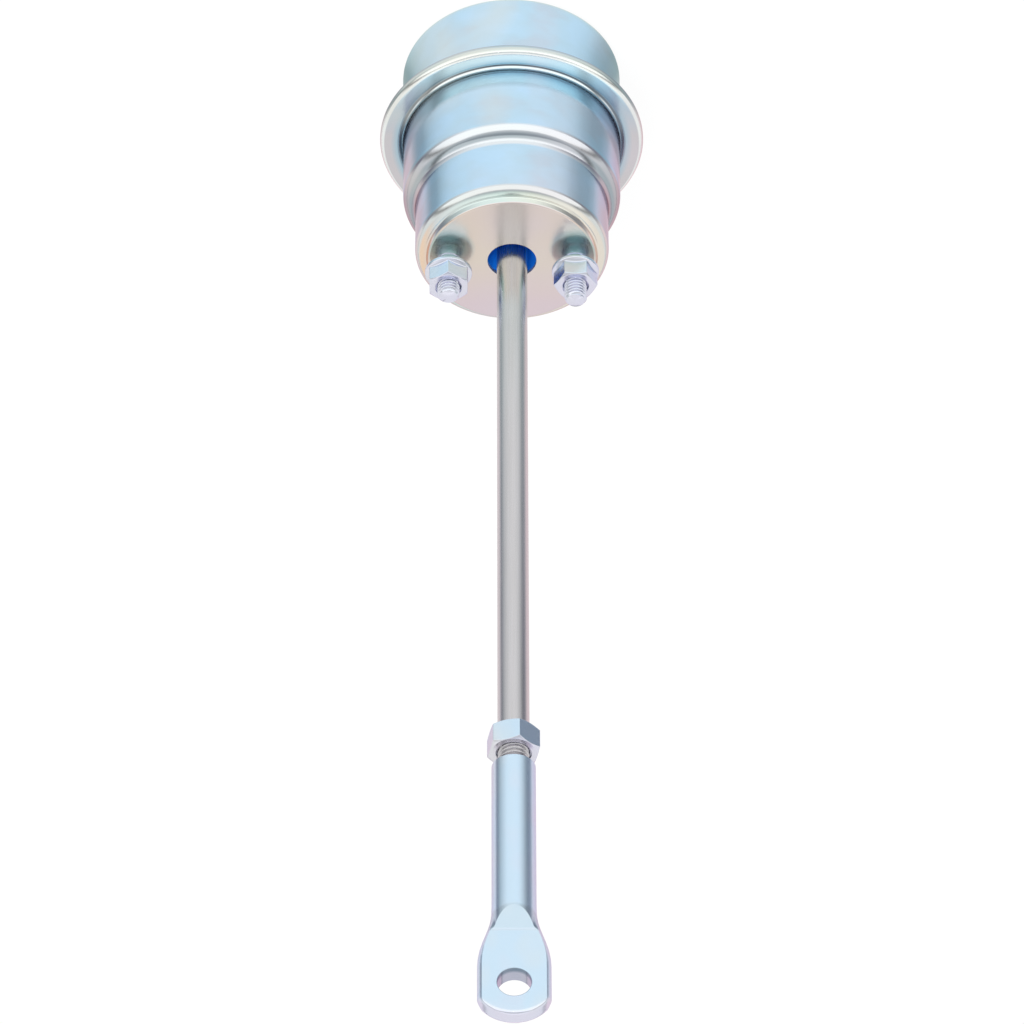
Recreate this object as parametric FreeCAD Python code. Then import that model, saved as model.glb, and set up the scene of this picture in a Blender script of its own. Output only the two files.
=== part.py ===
import FreeCAD, Part
import math
import os

# Wastegate actuator: a crimped two-part can whose rolling diaphragm pushes a rod against a coil spring.
# Millimetres. The rod's axis is Z, the closed end of the cover stands on z = 0 and the rod points up.
# The two mounting studs lie along X, the hose nipple and the pin of the eye point along Y.

# General clearances
RUNNING_CLEARANCE = 0.05     # radial, a thread or a shaft in its hole
SOFT_CLEARANCE = 0.3         # rubber or spring wire beside a wall
HOLE_CLEARANCE = 0.05        # radial, a fixed pin in a punched hole

# Cover: a drawn cup, the pressure side of the can
COVER_RADIUS = 29.1
COVER_SHEET = 0.8
COVER_CORNER_RADIUS = 4.4
COVER_WALL_HEIGHT = 24.85
COVER_NECK_RADIUS = 1.0
FLANGE_RADIUS = 35.1
CRIMP_FOLD_RADIUS = 1.55
CRIMP_LIP_WIDTH = 5.1

# Spring can: a drawn, stepped cup that the cover's rim is folded over
CAN_SHEET = 1.2
CAN_LOWER_RADIUS = 28.8
CAN_UPPER_RADIUS = 25.5
CAN_FLANGE_GAP = 0.85
CAN_NECK_RADIUS = 1.0
CAN_STEP_Z = 49.15
CAN_STEP_HEIGHT = 1.9
CAN_STEP_OUTER_RADIUS = 3.5
CAN_STEP_INNER_RADIUS = 3.0
CAN_FACE_Z = 70.8
CAN_FACE_RADIUS = 22.0
CAN_FACE_RISE = 1.7
CAN_FACE_DRAFT = 0.6
CAN_SHOULDER_RADIUS = 2.5
CAN_LEDGE_RADIUS = 0.5
CAN_FACE_EDGE_RADIUS = 0.6
CAN_HOLE_RADIUS = 6.4

# Diaphragm: fabric-reinforced rubber, clamped in the crimp and folded in one roll
DIAPHRAGM_THICKNESS = 0.4
DIAPHRAGM_EDGE_GAP = 0.95
DIAPHRAGM_ROLL_Z = 32.0

# Piston: drawn cup, washer and retainer plate held on the rod's spigot
HEAD_FLOOR_GAP = 0.3
HEAD_RADIUS = 5.0
HEAD_THICKNESS = 1.9
HEAD_DOME = 0.5
SPIGOT_RADIUS = 3.0
RETAINER_RADIUS = 19.6
RETAINER_THICKNESS = 1.4
RETAINER_RIM_DROP = 0.8
RETAINER_RIM_RADIUS = 1.6
PISTON_RADIUS = 21.6
PISTON_SHEET = 1.0
PISTON_HEIGHT = 24.0
PISTON_CORNER_RADIUS = 2.0
WASHER_RADIUS = 14.0
WASHER_THICKNESS = 2.0

# Rod, with a rolled thread at its free end, drawn here at its pitch radius
ROD_RADIUS = 4.0
ROD_THREAD_RADIUS = 3.6
ROD_THREAD_START_Z = 232.2
ROD_THREAD_LENGTH = 30.0
ROD_TIP_CHAMFER = 0.8
ROD_SHOULDER_CHAMFER = 0.4

# Spring and the moulded seat that carries its upper end
SPRING_WIRE_RADIUS = 1.6
SPRING_COIL_RADIUS = 17.6
SPRING_ACTIVE_TURNS = 5.0
SPRING_END_TURNS = 1.0
SPRING_END_GAP = 0.15
SPRING_PITCH_EASE = 0.5      # turns over which the pitch opens
SPRING_POINTS_PER_TURN = 12
SEAT_FLANGE_THICKNESS = 3.7
SEAT_RADIUS = 23.2
SEAT_PLATE_GAP = 1.8
SEAT_RIM_WIDTH = 1.8
SEAT_SHOULDER_RADIUS = 10.6
SEAT_COLLAR_RADIUS = 8.2
SEAT_BORE_RADIUS = 6.8
SEAT_COLLAR_TOP_GAP = 0.3
SEAT_PILOT_HEIGHT = 2.2
SEAT_PILOT_CLEARANCE = 0.8
SEAT_TUBE_LENGTH = 4.0
SEAT_TUBE_RADIUS = 9.2
SEAT_EDGE_RADIUS = 0.8
SEAT_LIP_RADIUS = 0.4

# Stud plate and its two clinched studs, thread drawn at its pitch radius
PLATE_RADIUS = 20.7
PLATE_THICKNESS = 2.3
PLATE_HOLE_CLEARANCE = 0.3
STUD_SPACING = 33.3
STUD_RADIUS = 3.0
STUD_ROOT_RADIUS = 3.3       # where it is clinched, flush with the can's face
STUD_THREAD_RADIUS = 2.72
STUD_SHANK_PROUD = 2.7
STUD_HEAD_RADIUS = 4.0
STUD_HEAD_THICKNESS = 1.4
STUD_TIP_CHAMFER = 0.6
SHORT_STUD_PROUD = 12.8
LONG_STUD_PROUD = 14.3

# Flange nuts, run loosely onto the studs
FLANGE_NUT_FLATS = 10.0
FLANGE_NUT_HEIGHT = 6.0
FLANGE_NUT_FLANGE_RADIUS = 6.2
FLANGE_NUT_FLANGE_EDGE = 1.1
FLANGE_NUT_EDGE_RADIUS = 0.35
FLANGE_NUT_CONE_RISE = 0.5
SHORT_STUD_NUT_LIFT = 3.6
LONG_STUD_NUT_LIFT = 3.3
SHORT_STUD_NUT_TURN = 30.0   # degrees about Z
LONG_STUD_NUT_TURN = 0.0

# Jam nut on the rod's thread
JAM_NUT_FLATS = 12.0
JAM_NUT_HEIGHT = 6.5
JAM_NUT_LIFT = 0.35
JAM_NUT_TURN = 17.3          # degrees about Z
NUT_CHAMFER_ANGLE = math.radians(30)
NUT_FACE_SHARE = 0.97        # bearing face diameter over the width across flats
NUT_BORE_CHAMFER = 0.5

# Rod end: a forged sleeve flattened into an eye
SLEEVE_RADIUS = 5.5
SLEEVE_MOUTH_Z = 243.1
SLEEVE_BORE_DEPTH = 23.0
SLEEVE_EDGE_CHAMFER = 0.5
SLEEVE_DRILL_POINT = 2.0
EYE_CENTRE_Z = 312.3
EYE_HOLE_RADIUS = 4.2
EYE_THICKNESS = 4.76
EYE_WIDTH = 18.1
EYE_TIP_REACH = 9.35         # from the hole's centre to the end of the eye
EYE_END_RADIUS = 10.2
EYE_SIDE_ROUND = 1.05
EYE_NECK_Z = 292.0
EYE_SHOULDER_Z = 302.5
EYE_NECK_BLEND = 20.0
EYE_SHOULDER_BLEND = 25.0
EYE_RAMP_START_Z = 290.9
EYE_RAMP_LENGTH = 5.3

# Hose nipple on the cover's side
NIPPLE_Z = 12.0
NIPPLE_RADIUS = 4.0
NIPPLE_BORE_RADIUS = 2.6
NIPPLE_REACH = 24.0
NIPPLE_INSET = 0.5
NIPPLE_COLLAR_RADIUS = 5.2
NIPPLE_COLLAR_THICKNESS = 1.2
NIPPLE_COLLAR_GAP = 0.3
NIPPLE_BEAD_RADIUS = 4.7
NIPPLE_BEAD_LENGTH = 2.4
NIPPLE_BEAD_SETBACK = 2.0
NIPPLE_TIP_CHAMFER = 0.5

# Heights that follow from the sizes above
CRIMP_SEAT_Z = COVER_WALL_HEIGHT + COVER_SHEET
CAN_FLANGE_TOP_Z = CRIMP_SEAT_Z + DIAPHRAGM_THICKNESS + CAN_SHEET
CRIMP_TOP_Z = CAN_FLANGE_TOP_Z + COVER_SHEET
CAN_BORE_RADIUS = CAN_LOWER_RADIUS - CAN_SHEET
CAN_INNER_Z = CAN_FACE_Z - CAN_SHEET
HEAD_Z = COVER_SHEET + HEAD_FLOOR_GAP
RETAINER_Z = HEAD_Z + HEAD_THICKNESS
DIAPHRAGM_Z = RETAINER_Z + RETAINER_THICKNESS
PISTON_Z = DIAPHRAGM_Z + DIAPHRAGM_THICKNESS
WASHER_Z = PISTON_Z + PISTON_SHEET
SHOULDER_Z = WASHER_Z + WASHER_THICKNESS
PLATE_Z = CAN_INNER_Z - PLATE_THICKNESS
SEAT_TOP_Z = PLATE_Z - SEAT_PLATE_GAP
SEAT_SPRING_Z = SEAT_TOP_Z - SEAT_FLANGE_THICKNESS
ROD_TIP_Z = ROD_THREAD_START_Z + ROD_THREAD_LENGTH
JAM_NUT_Z = ROD_THREAD_START_Z + JAM_NUT_LIFT

Z_AXIS = FreeCAD.Vector(0, 0, 1)
Y_AXIS = FreeCAD.Vector(0, 1, 0)
ORIGIN = FreeCAD.Vector(0, 0, 0)


def unit(start, end):
    """Direction from one (radius, height) point to another, and the distance."""
    across, up = end[0] - start[0], end[1] - start[1]
    length = math.hypot(across, up)
    return across / length, up / length, length


def corner_turn(before, corner, after):
    """Signed angle by which a path turns at a corner, positive to the left."""
    ax, ay, _ = unit(before, corner)
    bx, by, _ = unit(corner, after)
    return math.atan2(ax * by - ay * bx, ax * bx + ay * by)


def tangent_lengths(points, radii):
    """How far each rounded corner reaches along its two straights, kept within them."""
    reach = [0.0] * len(points)
    for i in range(1, len(points) - 1):
        turn = abs(corner_turn(points[i - 1], points[i], points[i + 1]))
        reach[i] = radii[i] * math.tan(turn / 2)
    limited = list(reach)
    for i in range(len(points) - 1):
        _, _, length = unit(points[i], points[i + 1])
        asked = reach[i] + reach[i + 1]
        share = min(1.0, 0.999 * length / asked) if asked else 1.0
        limited[i] = min(limited[i], reach[i] * share)
        limited[i + 1] = min(limited[i + 1], reach[i + 1] * share)
    return limited


def rounded_edges(points, radii, place):
    """Straight and tangent arc edges along a path; place turns (a, b) into a point in space."""
    reach = tangent_lengths(points, radii)
    edges = []
    current = points[0]
    for i in range(1, len(points)):
        corner = points[i]
        if i == len(points) - 1 or reach[i] < 1e-4:
            edges.append(Part.LineSegment(place(*current), place(*corner)).toShape())
            current = corner
            continue
        in_x, in_y, _ = unit(points[i - 1], corner)
        out_x, out_y, _ = unit(corner, points[i + 1])
        start = (corner[0] - in_x * reach[i], corner[1] - in_y * reach[i])
        end = (corner[0] + out_x * reach[i], corner[1] + out_y * reach[i])
        turn = abs(corner_turn(points[i - 1], corner, points[i + 1]))
        radius = reach[i] / math.tan(turn / 2)
        bisector = unit((0, 0), (out_x - in_x, out_y - in_y))
        to_middle = radius / math.cos(turn / 2) - radius
        middle = (corner[0] + bisector[0] * to_middle, corner[1] + bisector[1] * to_middle)
        if math.dist(current, start) > 1e-5:
            edges.append(Part.LineSegment(place(*current), place(*start)).toShape())
        edges.append(Part.Arc(place(*start), place(*middle), place(*end)).toShape())
        current = end
    return edges


def in_section(radius, height):
    """A point of a turned section: radius along X, height along Z."""
    return FreeCAD.Vector(radius, 0, height)


def in_front(across, height):
    """A point of the eye's outline, seen along Y."""
    return FreeCAD.Vector(across, 0, height)


def turned(corners):
    """Solid of revolution about Z from a closed list of (radius, height, corner radius)."""
    points = [(r, z) for r, z, _ in corners]
    radii = [c for _, _, c in corners]
    edges = rounded_edges(points + points[:1], radii + [0.0], in_section)
    face = Part.Face(Part.Wire(edges))
    return face.revolve(ORIGIN, Z_AXIS, 360)


def offset_corners(corners, thickness):
    """The same path moved to its left by the sheet's thickness, with its bends following."""
    moved = []
    for i, (r, z, bend) in enumerate(corners):
        before = corners[max(i - 1, 0)]
        after = corners[min(i + 1, len(corners) - 1)]
        dx, dy, _ = unit(before[:2], (r, z)) if i else unit((r, z), after[:2])
        if i in (0, len(corners) - 1):
            moved.append((r - dy * thickness, z + dx * thickness, 0.0))
            continue
        turn = corner_turn(before[:2], (r, z), after[:2])
        slide = thickness * math.tan(turn / 2)
        point = (r - dy * thickness - dx * slide, z + dx * thickness - dy * slide)
        moved.append((*point, max(bend - math.copysign(thickness, turn), 0.0)))
    return moved


def turned_sheet(corners, thickness):
    """A drawn sheet part: the section between a path and its offset to the left, revolved."""
    inner = offset_corners(corners, thickness)
    outer_edges = rounded_edges([c[:2] for c in corners], [c[2] for c in corners], in_section)
    inner_edges = rounded_edges([c[:2] for c in inner], [c[2] for c in inner], in_section)
    ends = []
    for outer_end, inner_end in ((corners[0], inner[0]), (corners[-1], inner[-1])):
        ends.append(Part.LineSegment(in_section(*outer_end[:2]), in_section(*inner_end[:2])).toShape())
    loop = Part.Wire(Part.__sortEdges__(outer_edges + inner_edges + ends))
    return Part.Face(loop).revolve(ORIGIN, Z_AXIS, 360)


def hexagon_nut(flats, height, base_z, bore_radius, chamfer_bottom):
    """Hexagonal prism with coned corners and a countersunk bore, corners on the X axis."""
    corner_radius = flats / math.sqrt(3)
    corners = []
    for i in range(7):
        angle = math.radians(60 * i)
        corners.append(FreeCAD.Vector(corner_radius * math.cos(angle),
                                      corner_radius * math.sin(angle), base_z))
    prism = Part.Face(Part.makePolygon(corners)).extrude(FreeCAD.Vector(0, 0, height))
    face_radius = NUT_FACE_SHARE * flats / 2
    drop = (corner_radius - face_radius) * math.tan(NUT_CHAMFER_ANGLE)
    top_z = base_z + height
    low_radius = face_radius if chamfer_bottom else corner_radius
    envelope = turned([
        (0, base_z, 0),
        (low_radius, base_z, 0),
        (corner_radius, base_z + drop, 0),
        (corner_radius, top_z - drop, 0),
        (face_radius, top_z, 0),
        (0, top_z, 0),
    ])
    return prism.common(envelope).cut(countersunk_bore(base_z, height, bore_radius))


def countersunk_bore(base_z, height, radius):
    """The space of a bore along Z with both mouths opened by 45 degrees."""
    wide = radius + NUT_BORE_CHAMFER
    return turned([
        (0, base_z - 1, 0),
        (wide + 1, base_z - 1, 0),
        (radius, base_z + NUT_BORE_CHAMFER, 0),
        (radius, base_z + height - NUT_BORE_CHAMFER, 0),
        (wide + 1, base_z + height + 1, 0),
        (0, base_z + height + 1, 0),
    ])


def upright_pin(radius, base_z, top_z, x=0.0):
    """A plain cylinder along Z, used as a pin or as the space of a hole."""
    return Part.makeCylinder(radius, top_z - base_z, FreeCAD.Vector(x, 0, base_z), Z_AXIS)


def stud_positions():
    """Where the two studs stand along X: the short one first, then the long one."""
    return STUD_SPACING / 2, -STUD_SPACING / 2


def cover():
    """Drawn cup with a flat closed end; its rim runs out as a flange and folds over the can's."""
    path = [
        (0, 0, 0),
        (COVER_RADIUS, 0, COVER_CORNER_RADIUS),
        (COVER_RADIUS, COVER_WALL_HEIGHT, COVER_NECK_RADIUS),
        (FLANGE_RADIUS, COVER_WALL_HEIGHT, CRIMP_FOLD_RADIUS),
        (FLANGE_RADIUS, CRIMP_TOP_Z, CRIMP_FOLD_RADIUS),
        (FLANGE_RADIUS - CRIMP_LIP_WIDTH, CRIMP_TOP_Z, 0),
    ]
    shell = turned_sheet(path, COVER_SHEET)
    port = Part.makeCylinder(NIPPLE_RADIUS + HOLE_CLEARANCE, COVER_RADIUS,
                             FreeCAD.Vector(0, COVER_RADIUS / 2, NIPPLE_Z), Y_AXIS)
    return shell.cut(port)


def spring_can():
    """Drawn, stepped cup: flange under the crimp, two diameters and a raised end face with its holes."""
    ledge_z = CAN_FACE_Z - CAN_FACE_RISE
    path = [
        (FLANGE_RADIUS - COVER_SHEET - CAN_FLANGE_GAP, CAN_FLANGE_TOP_Z, 0),
        (CAN_LOWER_RADIUS, CAN_FLANGE_TOP_Z, CAN_NECK_RADIUS),
        (CAN_LOWER_RADIUS, CAN_STEP_Z, CAN_STEP_OUTER_RADIUS),
        (CAN_UPPER_RADIUS, CAN_STEP_Z + CAN_STEP_HEIGHT, CAN_STEP_INNER_RADIUS),
        (CAN_UPPER_RADIUS, ledge_z, CAN_SHOULDER_RADIUS),
        (CAN_FACE_RADIUS + CAN_FACE_DRAFT, ledge_z, CAN_LEDGE_RADIUS),
        (CAN_FACE_RADIUS, CAN_FACE_Z, CAN_FACE_EDGE_RADIUS),
        (CAN_HOLE_RADIUS, CAN_FACE_Z, 0),
    ]
    shell = turned_sheet(path, CAN_SHEET)
    for x in stud_positions():
        shell = shell.cut(upright_pin(STUD_ROOT_RADIUS + HOLE_CLEARANCE, PLATE_Z, CAN_FACE_Z + 1, x))
    return shell


def hose_nipple():
    """Tube brazed into the cover's side, with a collar outside the wall and a hose bead near its tip."""
    inner = COVER_RADIUS - COVER_SHEET - NIPPLE_INSET
    collar = COVER_RADIUS + NIPPLE_COLLAR_GAP
    tip = COVER_RADIUS + NIPPLE_REACH
    bead_end = tip - NIPPLE_BEAD_SETBACK
    bead_start = bead_end - NIPPLE_BEAD_LENGTH
    bead_round = NIPPLE_BEAD_RADIUS - NIPPLE_RADIUS
    tube = turned([
        (NIPPLE_BORE_RADIUS, inner, 0),
        (NIPPLE_RADIUS, inner, 0),
        (NIPPLE_RADIUS, collar, 0),
        (NIPPLE_COLLAR_RADIUS, collar, 0),
        (NIPPLE_COLLAR_RADIUS, collar + NIPPLE_COLLAR_THICKNESS, 0),
        (NIPPLE_RADIUS, collar + NIPPLE_COLLAR_THICKNESS, 0),
        (NIPPLE_RADIUS, bead_start, 0),
        (NIPPLE_BEAD_RADIUS, bead_start + bead_round, bead_round),
        (NIPPLE_BEAD_RADIUS, bead_end - bead_round, bead_round),
        (NIPPLE_RADIUS, bead_end, 0),
        (NIPPLE_RADIUS, tip - NIPPLE_TIP_CHAMFER, 0),
        (NIPPLE_RADIUS - NIPPLE_TIP_CHAMFER, tip, 0),
        (NIPPLE_BORE_RADIUS, tip, 0),
    ])
    tube.rotate(ORIGIN, FreeCAD.Vector(1, 0, 0), -90)
    tube.translate(FreeCAD.Vector(0, 0, NIPPLE_Z))
    return tube


def diaphragm():
    """Rolling diaphragm: clamped flat in the crimp, up the can's bore, over one roll, down the piston."""
    bore_side = CAN_BORE_RADIUS - SOFT_CLEARANCE
    piston_side = PISTON_RADIUS + SOFT_CLEARANCE
    roll = (bore_side - piston_side) / 2
    mouth = CAN_NECK_RADIUS + CAN_SHEET + SOFT_CLEARANCE
    clamp_top = CRIMP_SEAT_Z + DIAPHRAGM_THICKNESS
    path = [
        (SPIGOT_RADIUS + HOLE_CLEARANCE, PISTON_Z, 0),
        (piston_side, PISTON_Z, PISTON_CORNER_RADIUS + SOFT_CLEARANCE),
        (piston_side, DIAPHRAGM_ROLL_Z, roll),
        (bore_side, DIAPHRAGM_ROLL_Z, roll),
        (bore_side, clamp_top, mouth),
        (FLANGE_RADIUS - COVER_SHEET - DIAPHRAGM_EDGE_GAP, clamp_top, 0),
    ]
    return turned_sheet(path, -DIAPHRAGM_THICKNESS)


def retainer_plate():
    """Round plate below the diaphragm with its rim turned away from the rubber."""
    path = [
        (SPIGOT_RADIUS + HOLE_CLEARANCE, RETAINER_Z, 0),
        (RETAINER_RADIUS - RETAINER_THICKNESS, RETAINER_Z, RETAINER_RIM_RADIUS - RETAINER_THICKNESS),
        (RETAINER_RADIUS - RETAINER_THICKNESS, RETAINER_Z - RETAINER_RIM_DROP, 0),
    ]
    return turned_sheet(path, RETAINER_THICKNESS)


def piston_cup():
    """Drawn cup above the diaphragm; the spring stands in it."""
    path = [
        (SPIGOT_RADIUS + HOLE_CLEARANCE, PISTON_Z, 0),
        (PISTON_RADIUS, PISTON_Z, PISTON_CORNER_RADIUS),
        (PISTON_RADIUS, PISTON_Z + PISTON_HEIGHT, 0),
    ]
    return turned_sheet(path, PISTON_SHEET)


def piston_washer():
    """Thick washer between the piston cup and the rod's shoulder; it also centres the spring."""
    hole = SPIGOT_RADIUS + HOLE_CLEARANCE
    return turned([
        (hole, WASHER_Z, 0),
        (WASHER_RADIUS, WASHER_Z, 0),
        (WASHER_RADIUS, WASHER_Z + WASHER_THICKNESS, ROD_SHOULDER_CHAMFER),
        (hole, WASHER_Z + WASHER_THICKNESS, 0),
    ])


def actuator_rod():
    """Rod with a riveted head and spigot at the piston end and a thread at the free end."""
    return turned([
        (0, HEAD_Z, 0),
        (HEAD_RADIUS - HEAD_DOME, HEAD_Z, 0),
        (HEAD_RADIUS, HEAD_Z + HEAD_DOME, 0),
        (HEAD_RADIUS, RETAINER_Z, 0),
        (SPIGOT_RADIUS, RETAINER_Z, 0),
        (SPIGOT_RADIUS, SHOULDER_Z, 0),
        (ROD_RADIUS, SHOULDER_Z, 0),
        (ROD_RADIUS, ROD_THREAD_START_Z - (ROD_RADIUS - ROD_THREAD_RADIUS), 0),
        (ROD_THREAD_RADIUS, ROD_THREAD_START_Z, 0),
        (ROD_THREAD_RADIUS, ROD_TIP_Z - ROD_TIP_CHAMFER, 0),
        (ROD_THREAD_RADIUS - ROD_TIP_CHAMFER, ROD_TIP_Z, 0),
        (0, ROD_TIP_Z, 0),
    ])


def spring_height(turn, turns, rise):
    """Height gained after a number of turns: close-wound at both ends, open in between."""
    end_pitch = 2 * SPRING_WIRE_RADIUS + SPRING_END_GAP
    open_pitch = (rise - 2 * SPRING_END_TURNS * end_pitch) / (turns - 2 * SPRING_END_TURNS)
    height = 0.0
    steps = 24
    for i in range(steps):
        at = turn * (i + 0.5) / steps
        into = min(at, turns - at) - SPRING_END_TURNS
        share = min(max(into / SPRING_PITCH_EASE + 0.5, 0.0), 1.0)
        height += (end_pitch + (open_pitch - end_pitch) * share) * turn / steps
    return height


def main_spring():
    """Coil spring from the piston cup to the seat, with close-wound end turns."""
    turns = SPRING_ACTIVE_TURNS + 2 * SPRING_END_TURNS
    low = WASHER_Z + SPRING_WIRE_RADIUS + SPRING_END_GAP
    high = SEAT_SPRING_Z - SPRING_WIRE_RADIUS - SPRING_END_GAP
    rise = high - low
    full = spring_height(turns, turns, rise)
    points = []
    count = int(round(turns * SPRING_POINTS_PER_TURN))
    for i in range(count + 1):
        turn = turns * i / count
        angle = 2 * math.pi * turn
        height = low + rise * spring_height(turn, turns, rise) / full
        points.append(FreeCAD.Vector(SPRING_COIL_RADIUS * math.cos(angle),
                                     SPRING_COIL_RADIUS * math.sin(angle), height))
    curve = Part.BSplineCurve()
    curve.interpolate(points)
    start, direction = curve.value(0), curve.tangent(0)[0]
    section = Part.Wire(Part.Circle(start, direction, SPRING_WIRE_RADIUS).toShape())
    return Part.Wire(curve.toShape()).makePipeShell([section], True, True)


def spring_seat():
    """Moulded seat under the stud plate: flange, pilot for the coil, collar, room for the stud heads."""
    rim_inner = SEAT_RADIUS - SEAT_RIM_WIDTH
    pilot = SPRING_COIL_RADIUS - SPRING_WIRE_RADIUS - SEAT_PILOT_CLEARANCE
    pilot_z = SEAT_SPRING_Z - SEAT_PILOT_HEIGHT
    tube_z = pilot_z - SEAT_TUBE_LENGTH
    rim_top = PLATE_Z
    rim_outer = min(SEAT_RADIUS, CAN_UPPER_RADIUS - CAN_SHEET - SOFT_CLEARANCE)
    seat = turned([
        (SEAT_BORE_RADIUS, tube_z, 0),
        (SEAT_TUBE_RADIUS, tube_z, SEAT_LIP_RADIUS),
        (SEAT_TUBE_RADIUS, pilot_z, 0),
        (pilot, pilot_z, SEAT_EDGE_RADIUS),
        (pilot, SEAT_SPRING_Z, 0),
        (rim_outer, SEAT_SPRING_Z, SEAT_EDGE_RADIUS),
        (rim_outer, rim_top, SEAT_EDGE_RADIUS),
        (rim_inner, rim_top, 0),
        (rim_inner, SEAT_TOP_Z, 0),
        (SEAT_SHOULDER_RADIUS, SEAT_TOP_Z, 0),
        (SEAT_SHOULDER_RADIUS, rim_top, 0),
        (SEAT_COLLAR_RADIUS, rim_top, 0),
        (SEAT_COLLAR_RADIUS, CAN_INNER_Z - SEAT_COLLAR_TOP_GAP, SEAT_LIP_RADIUS),
        (SEAT_BORE_RADIUS, CAN_INNER_Z - SEAT_COLLAR_TOP_GAP, SEAT_LIP_RADIUS),
    ])
    head_room = STUD_HEAD_RADIUS + SOFT_CLEARANCE
    pocket_z = PLATE_Z - STUD_HEAD_THICKNESS - SOFT_CLEARANCE
    for x in stud_positions():
        seat = seat.cut(upright_pin(head_room, pocket_z, CAN_INNER_Z, x))
    return seat


def stud_plate():
    """Round plate inside the can's end that carries the studs and lets the seat's collar through."""
    plate = turned([
        (SEAT_COLLAR_RADIUS + PLATE_HOLE_CLEARANCE, PLATE_Z, 0),
        (PLATE_RADIUS, PLATE_Z, 0),
        (PLATE_RADIUS, CAN_INNER_Z, 0),
        (SEAT_COLLAR_RADIUS + PLATE_HOLE_CLEARANCE, CAN_INNER_Z, 0),
    ])
    for x in stud_positions():
        plate = plate.cut(upright_pin(STUD_ROOT_RADIUS + HOLE_CLEARANCE, PLATE_Z - 1, CAN_INNER_Z + 1, x))
    return plate


def stud(x, proud):
    """Clinched stud: head and root in the plate and can, plain shank above the face, then thread."""
    tip = CAN_FACE_Z + proud
    shank_end = CAN_FACE_Z + STUD_SHANK_PROUD
    body = turned([
        (0, PLATE_Z - STUD_HEAD_THICKNESS, 0),
        (STUD_HEAD_RADIUS, PLATE_Z - STUD_HEAD_THICKNESS, 0),
        (STUD_HEAD_RADIUS, PLATE_Z, 0),
        (STUD_ROOT_RADIUS, PLATE_Z, 0),
        (STUD_ROOT_RADIUS, CAN_FACE_Z, 0),
        (STUD_RADIUS, CAN_FACE_Z, 0),
        (STUD_RADIUS, shank_end - (STUD_RADIUS - STUD_THREAD_RADIUS), 0),
        (STUD_THREAD_RADIUS, shank_end, 0),
        (STUD_THREAD_RADIUS, tip - STUD_TIP_CHAMFER, 0),
        (STUD_THREAD_RADIUS - STUD_TIP_CHAMFER, tip, 0),
        (0, tip, 0),
    ])
    body.translate(FreeCAD.Vector(x, 0, 0))
    return body


def flange_nut(x, lift, turn):
    """Hexagon nut with a flange that slopes away from the hexagon, standing lift above the can's face."""
    base_z = CAN_FACE_Z + lift
    bore_radius = STUD_THREAD_RADIUS + RUNNING_CLEARANCE
    hexagon = hexagon_nut(FLANGE_NUT_FLATS, FLANGE_NUT_HEIGHT, base_z, bore_radius, False)
    flange = turned([
        (0, base_z, 0),
        (FLANGE_NUT_FLANGE_RADIUS, base_z, FLANGE_NUT_EDGE_RADIUS),
        (FLANGE_NUT_FLANGE_RADIUS, base_z + FLANGE_NUT_FLANGE_EDGE, FLANGE_NUT_EDGE_RADIUS),
        (FLANGE_NUT_FLATS / 2, base_z + FLANGE_NUT_FLANGE_EDGE + FLANGE_NUT_CONE_RISE, 0),
        (0, base_z + FLANGE_NUT_FLANGE_EDGE + FLANGE_NUT_CONE_RISE, 0),
    ])
    nut = hexagon.fuse(flange).cut(countersunk_bore(base_z, FLANGE_NUT_HEIGHT, bore_radius))
    nut = nut.removeSplitter()
    nut.rotate(ORIGIN, Z_AXIS, turn)
    nut.translate(FreeCAD.Vector(x, 0, 0))
    return nut


def jam_nut():
    """Thin hexagon nut run down to the end of the rod's thread."""
    bore_radius = ROD_THREAD_RADIUS + RUNNING_CLEARANCE
    nut = hexagon_nut(JAM_NUT_FLATS, JAM_NUT_HEIGHT, JAM_NUT_Z, bore_radius, True)
    nut.rotate(ORIGIN, Z_AXIS, JAM_NUT_TURN)
    return nut


def eye_outline():
    """Front outline of the flattened eye: a neck that widens by two tangent arcs and a round end."""
    half = EYE_WIDTH / 2
    tip = EYE_CENTRE_Z + EYE_TIP_REACH
    end_start = tip - EYE_END_RADIUS + math.sqrt(max(EYE_END_RADIUS ** 2 - half ** 2, 0.0))
    neck_base = EYE_NECK_Z - SLEEVE_RADIUS
    right = [
        (0, neck_base),
        (SLEEVE_RADIUS, neck_base),
        (SLEEVE_RADIUS, EYE_NECK_Z),
        (half, EYE_SHOULDER_Z),
        (half, end_start),
    ]
    bends = [0, 0, EYE_NECK_BLEND, EYE_SHOULDER_BLEND, 0]
    left = [(-a, z) for a, z in right]
    end_arc = Part.Arc(in_front(half, end_start), in_front(0, tip),
                       in_front(-half, end_start)).toShape()
    edges = rounded_edges(right, bends, in_front) + rounded_edges(left, bends, in_front)
    return Part.Wire(Part.__sortEdges__(edges + [end_arc]))


def eye_plate():
    """The flattened eye with the long edges of its sides rounded."""
    half = EYE_THICKNESS / 2
    outline = Part.Face(eye_outline())
    plate = outline.extrude(FreeCAD.Vector(0, EYE_THICKNESS, 0))
    plate.translate(FreeCAD.Vector(0, -half, 0))
    side_edges = []
    for edge in plate.Edges:
        box = edge.BoundBox
        on_face = box.YLength < 1e-6
        on_side = box.ZMin > EYE_NECK_Z - SLEEVE_RADIUS - 1e-6 and box.ZLength > 1e-6
        at_axis = abs(box.XMin) < 1e-6 and abs(box.XMax) < 1e-6
        if on_face and on_side and not at_axis:
            side_edges.append(edge)
    return plate.makeFillet(EYE_SIDE_ROUND, side_edges)


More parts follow.
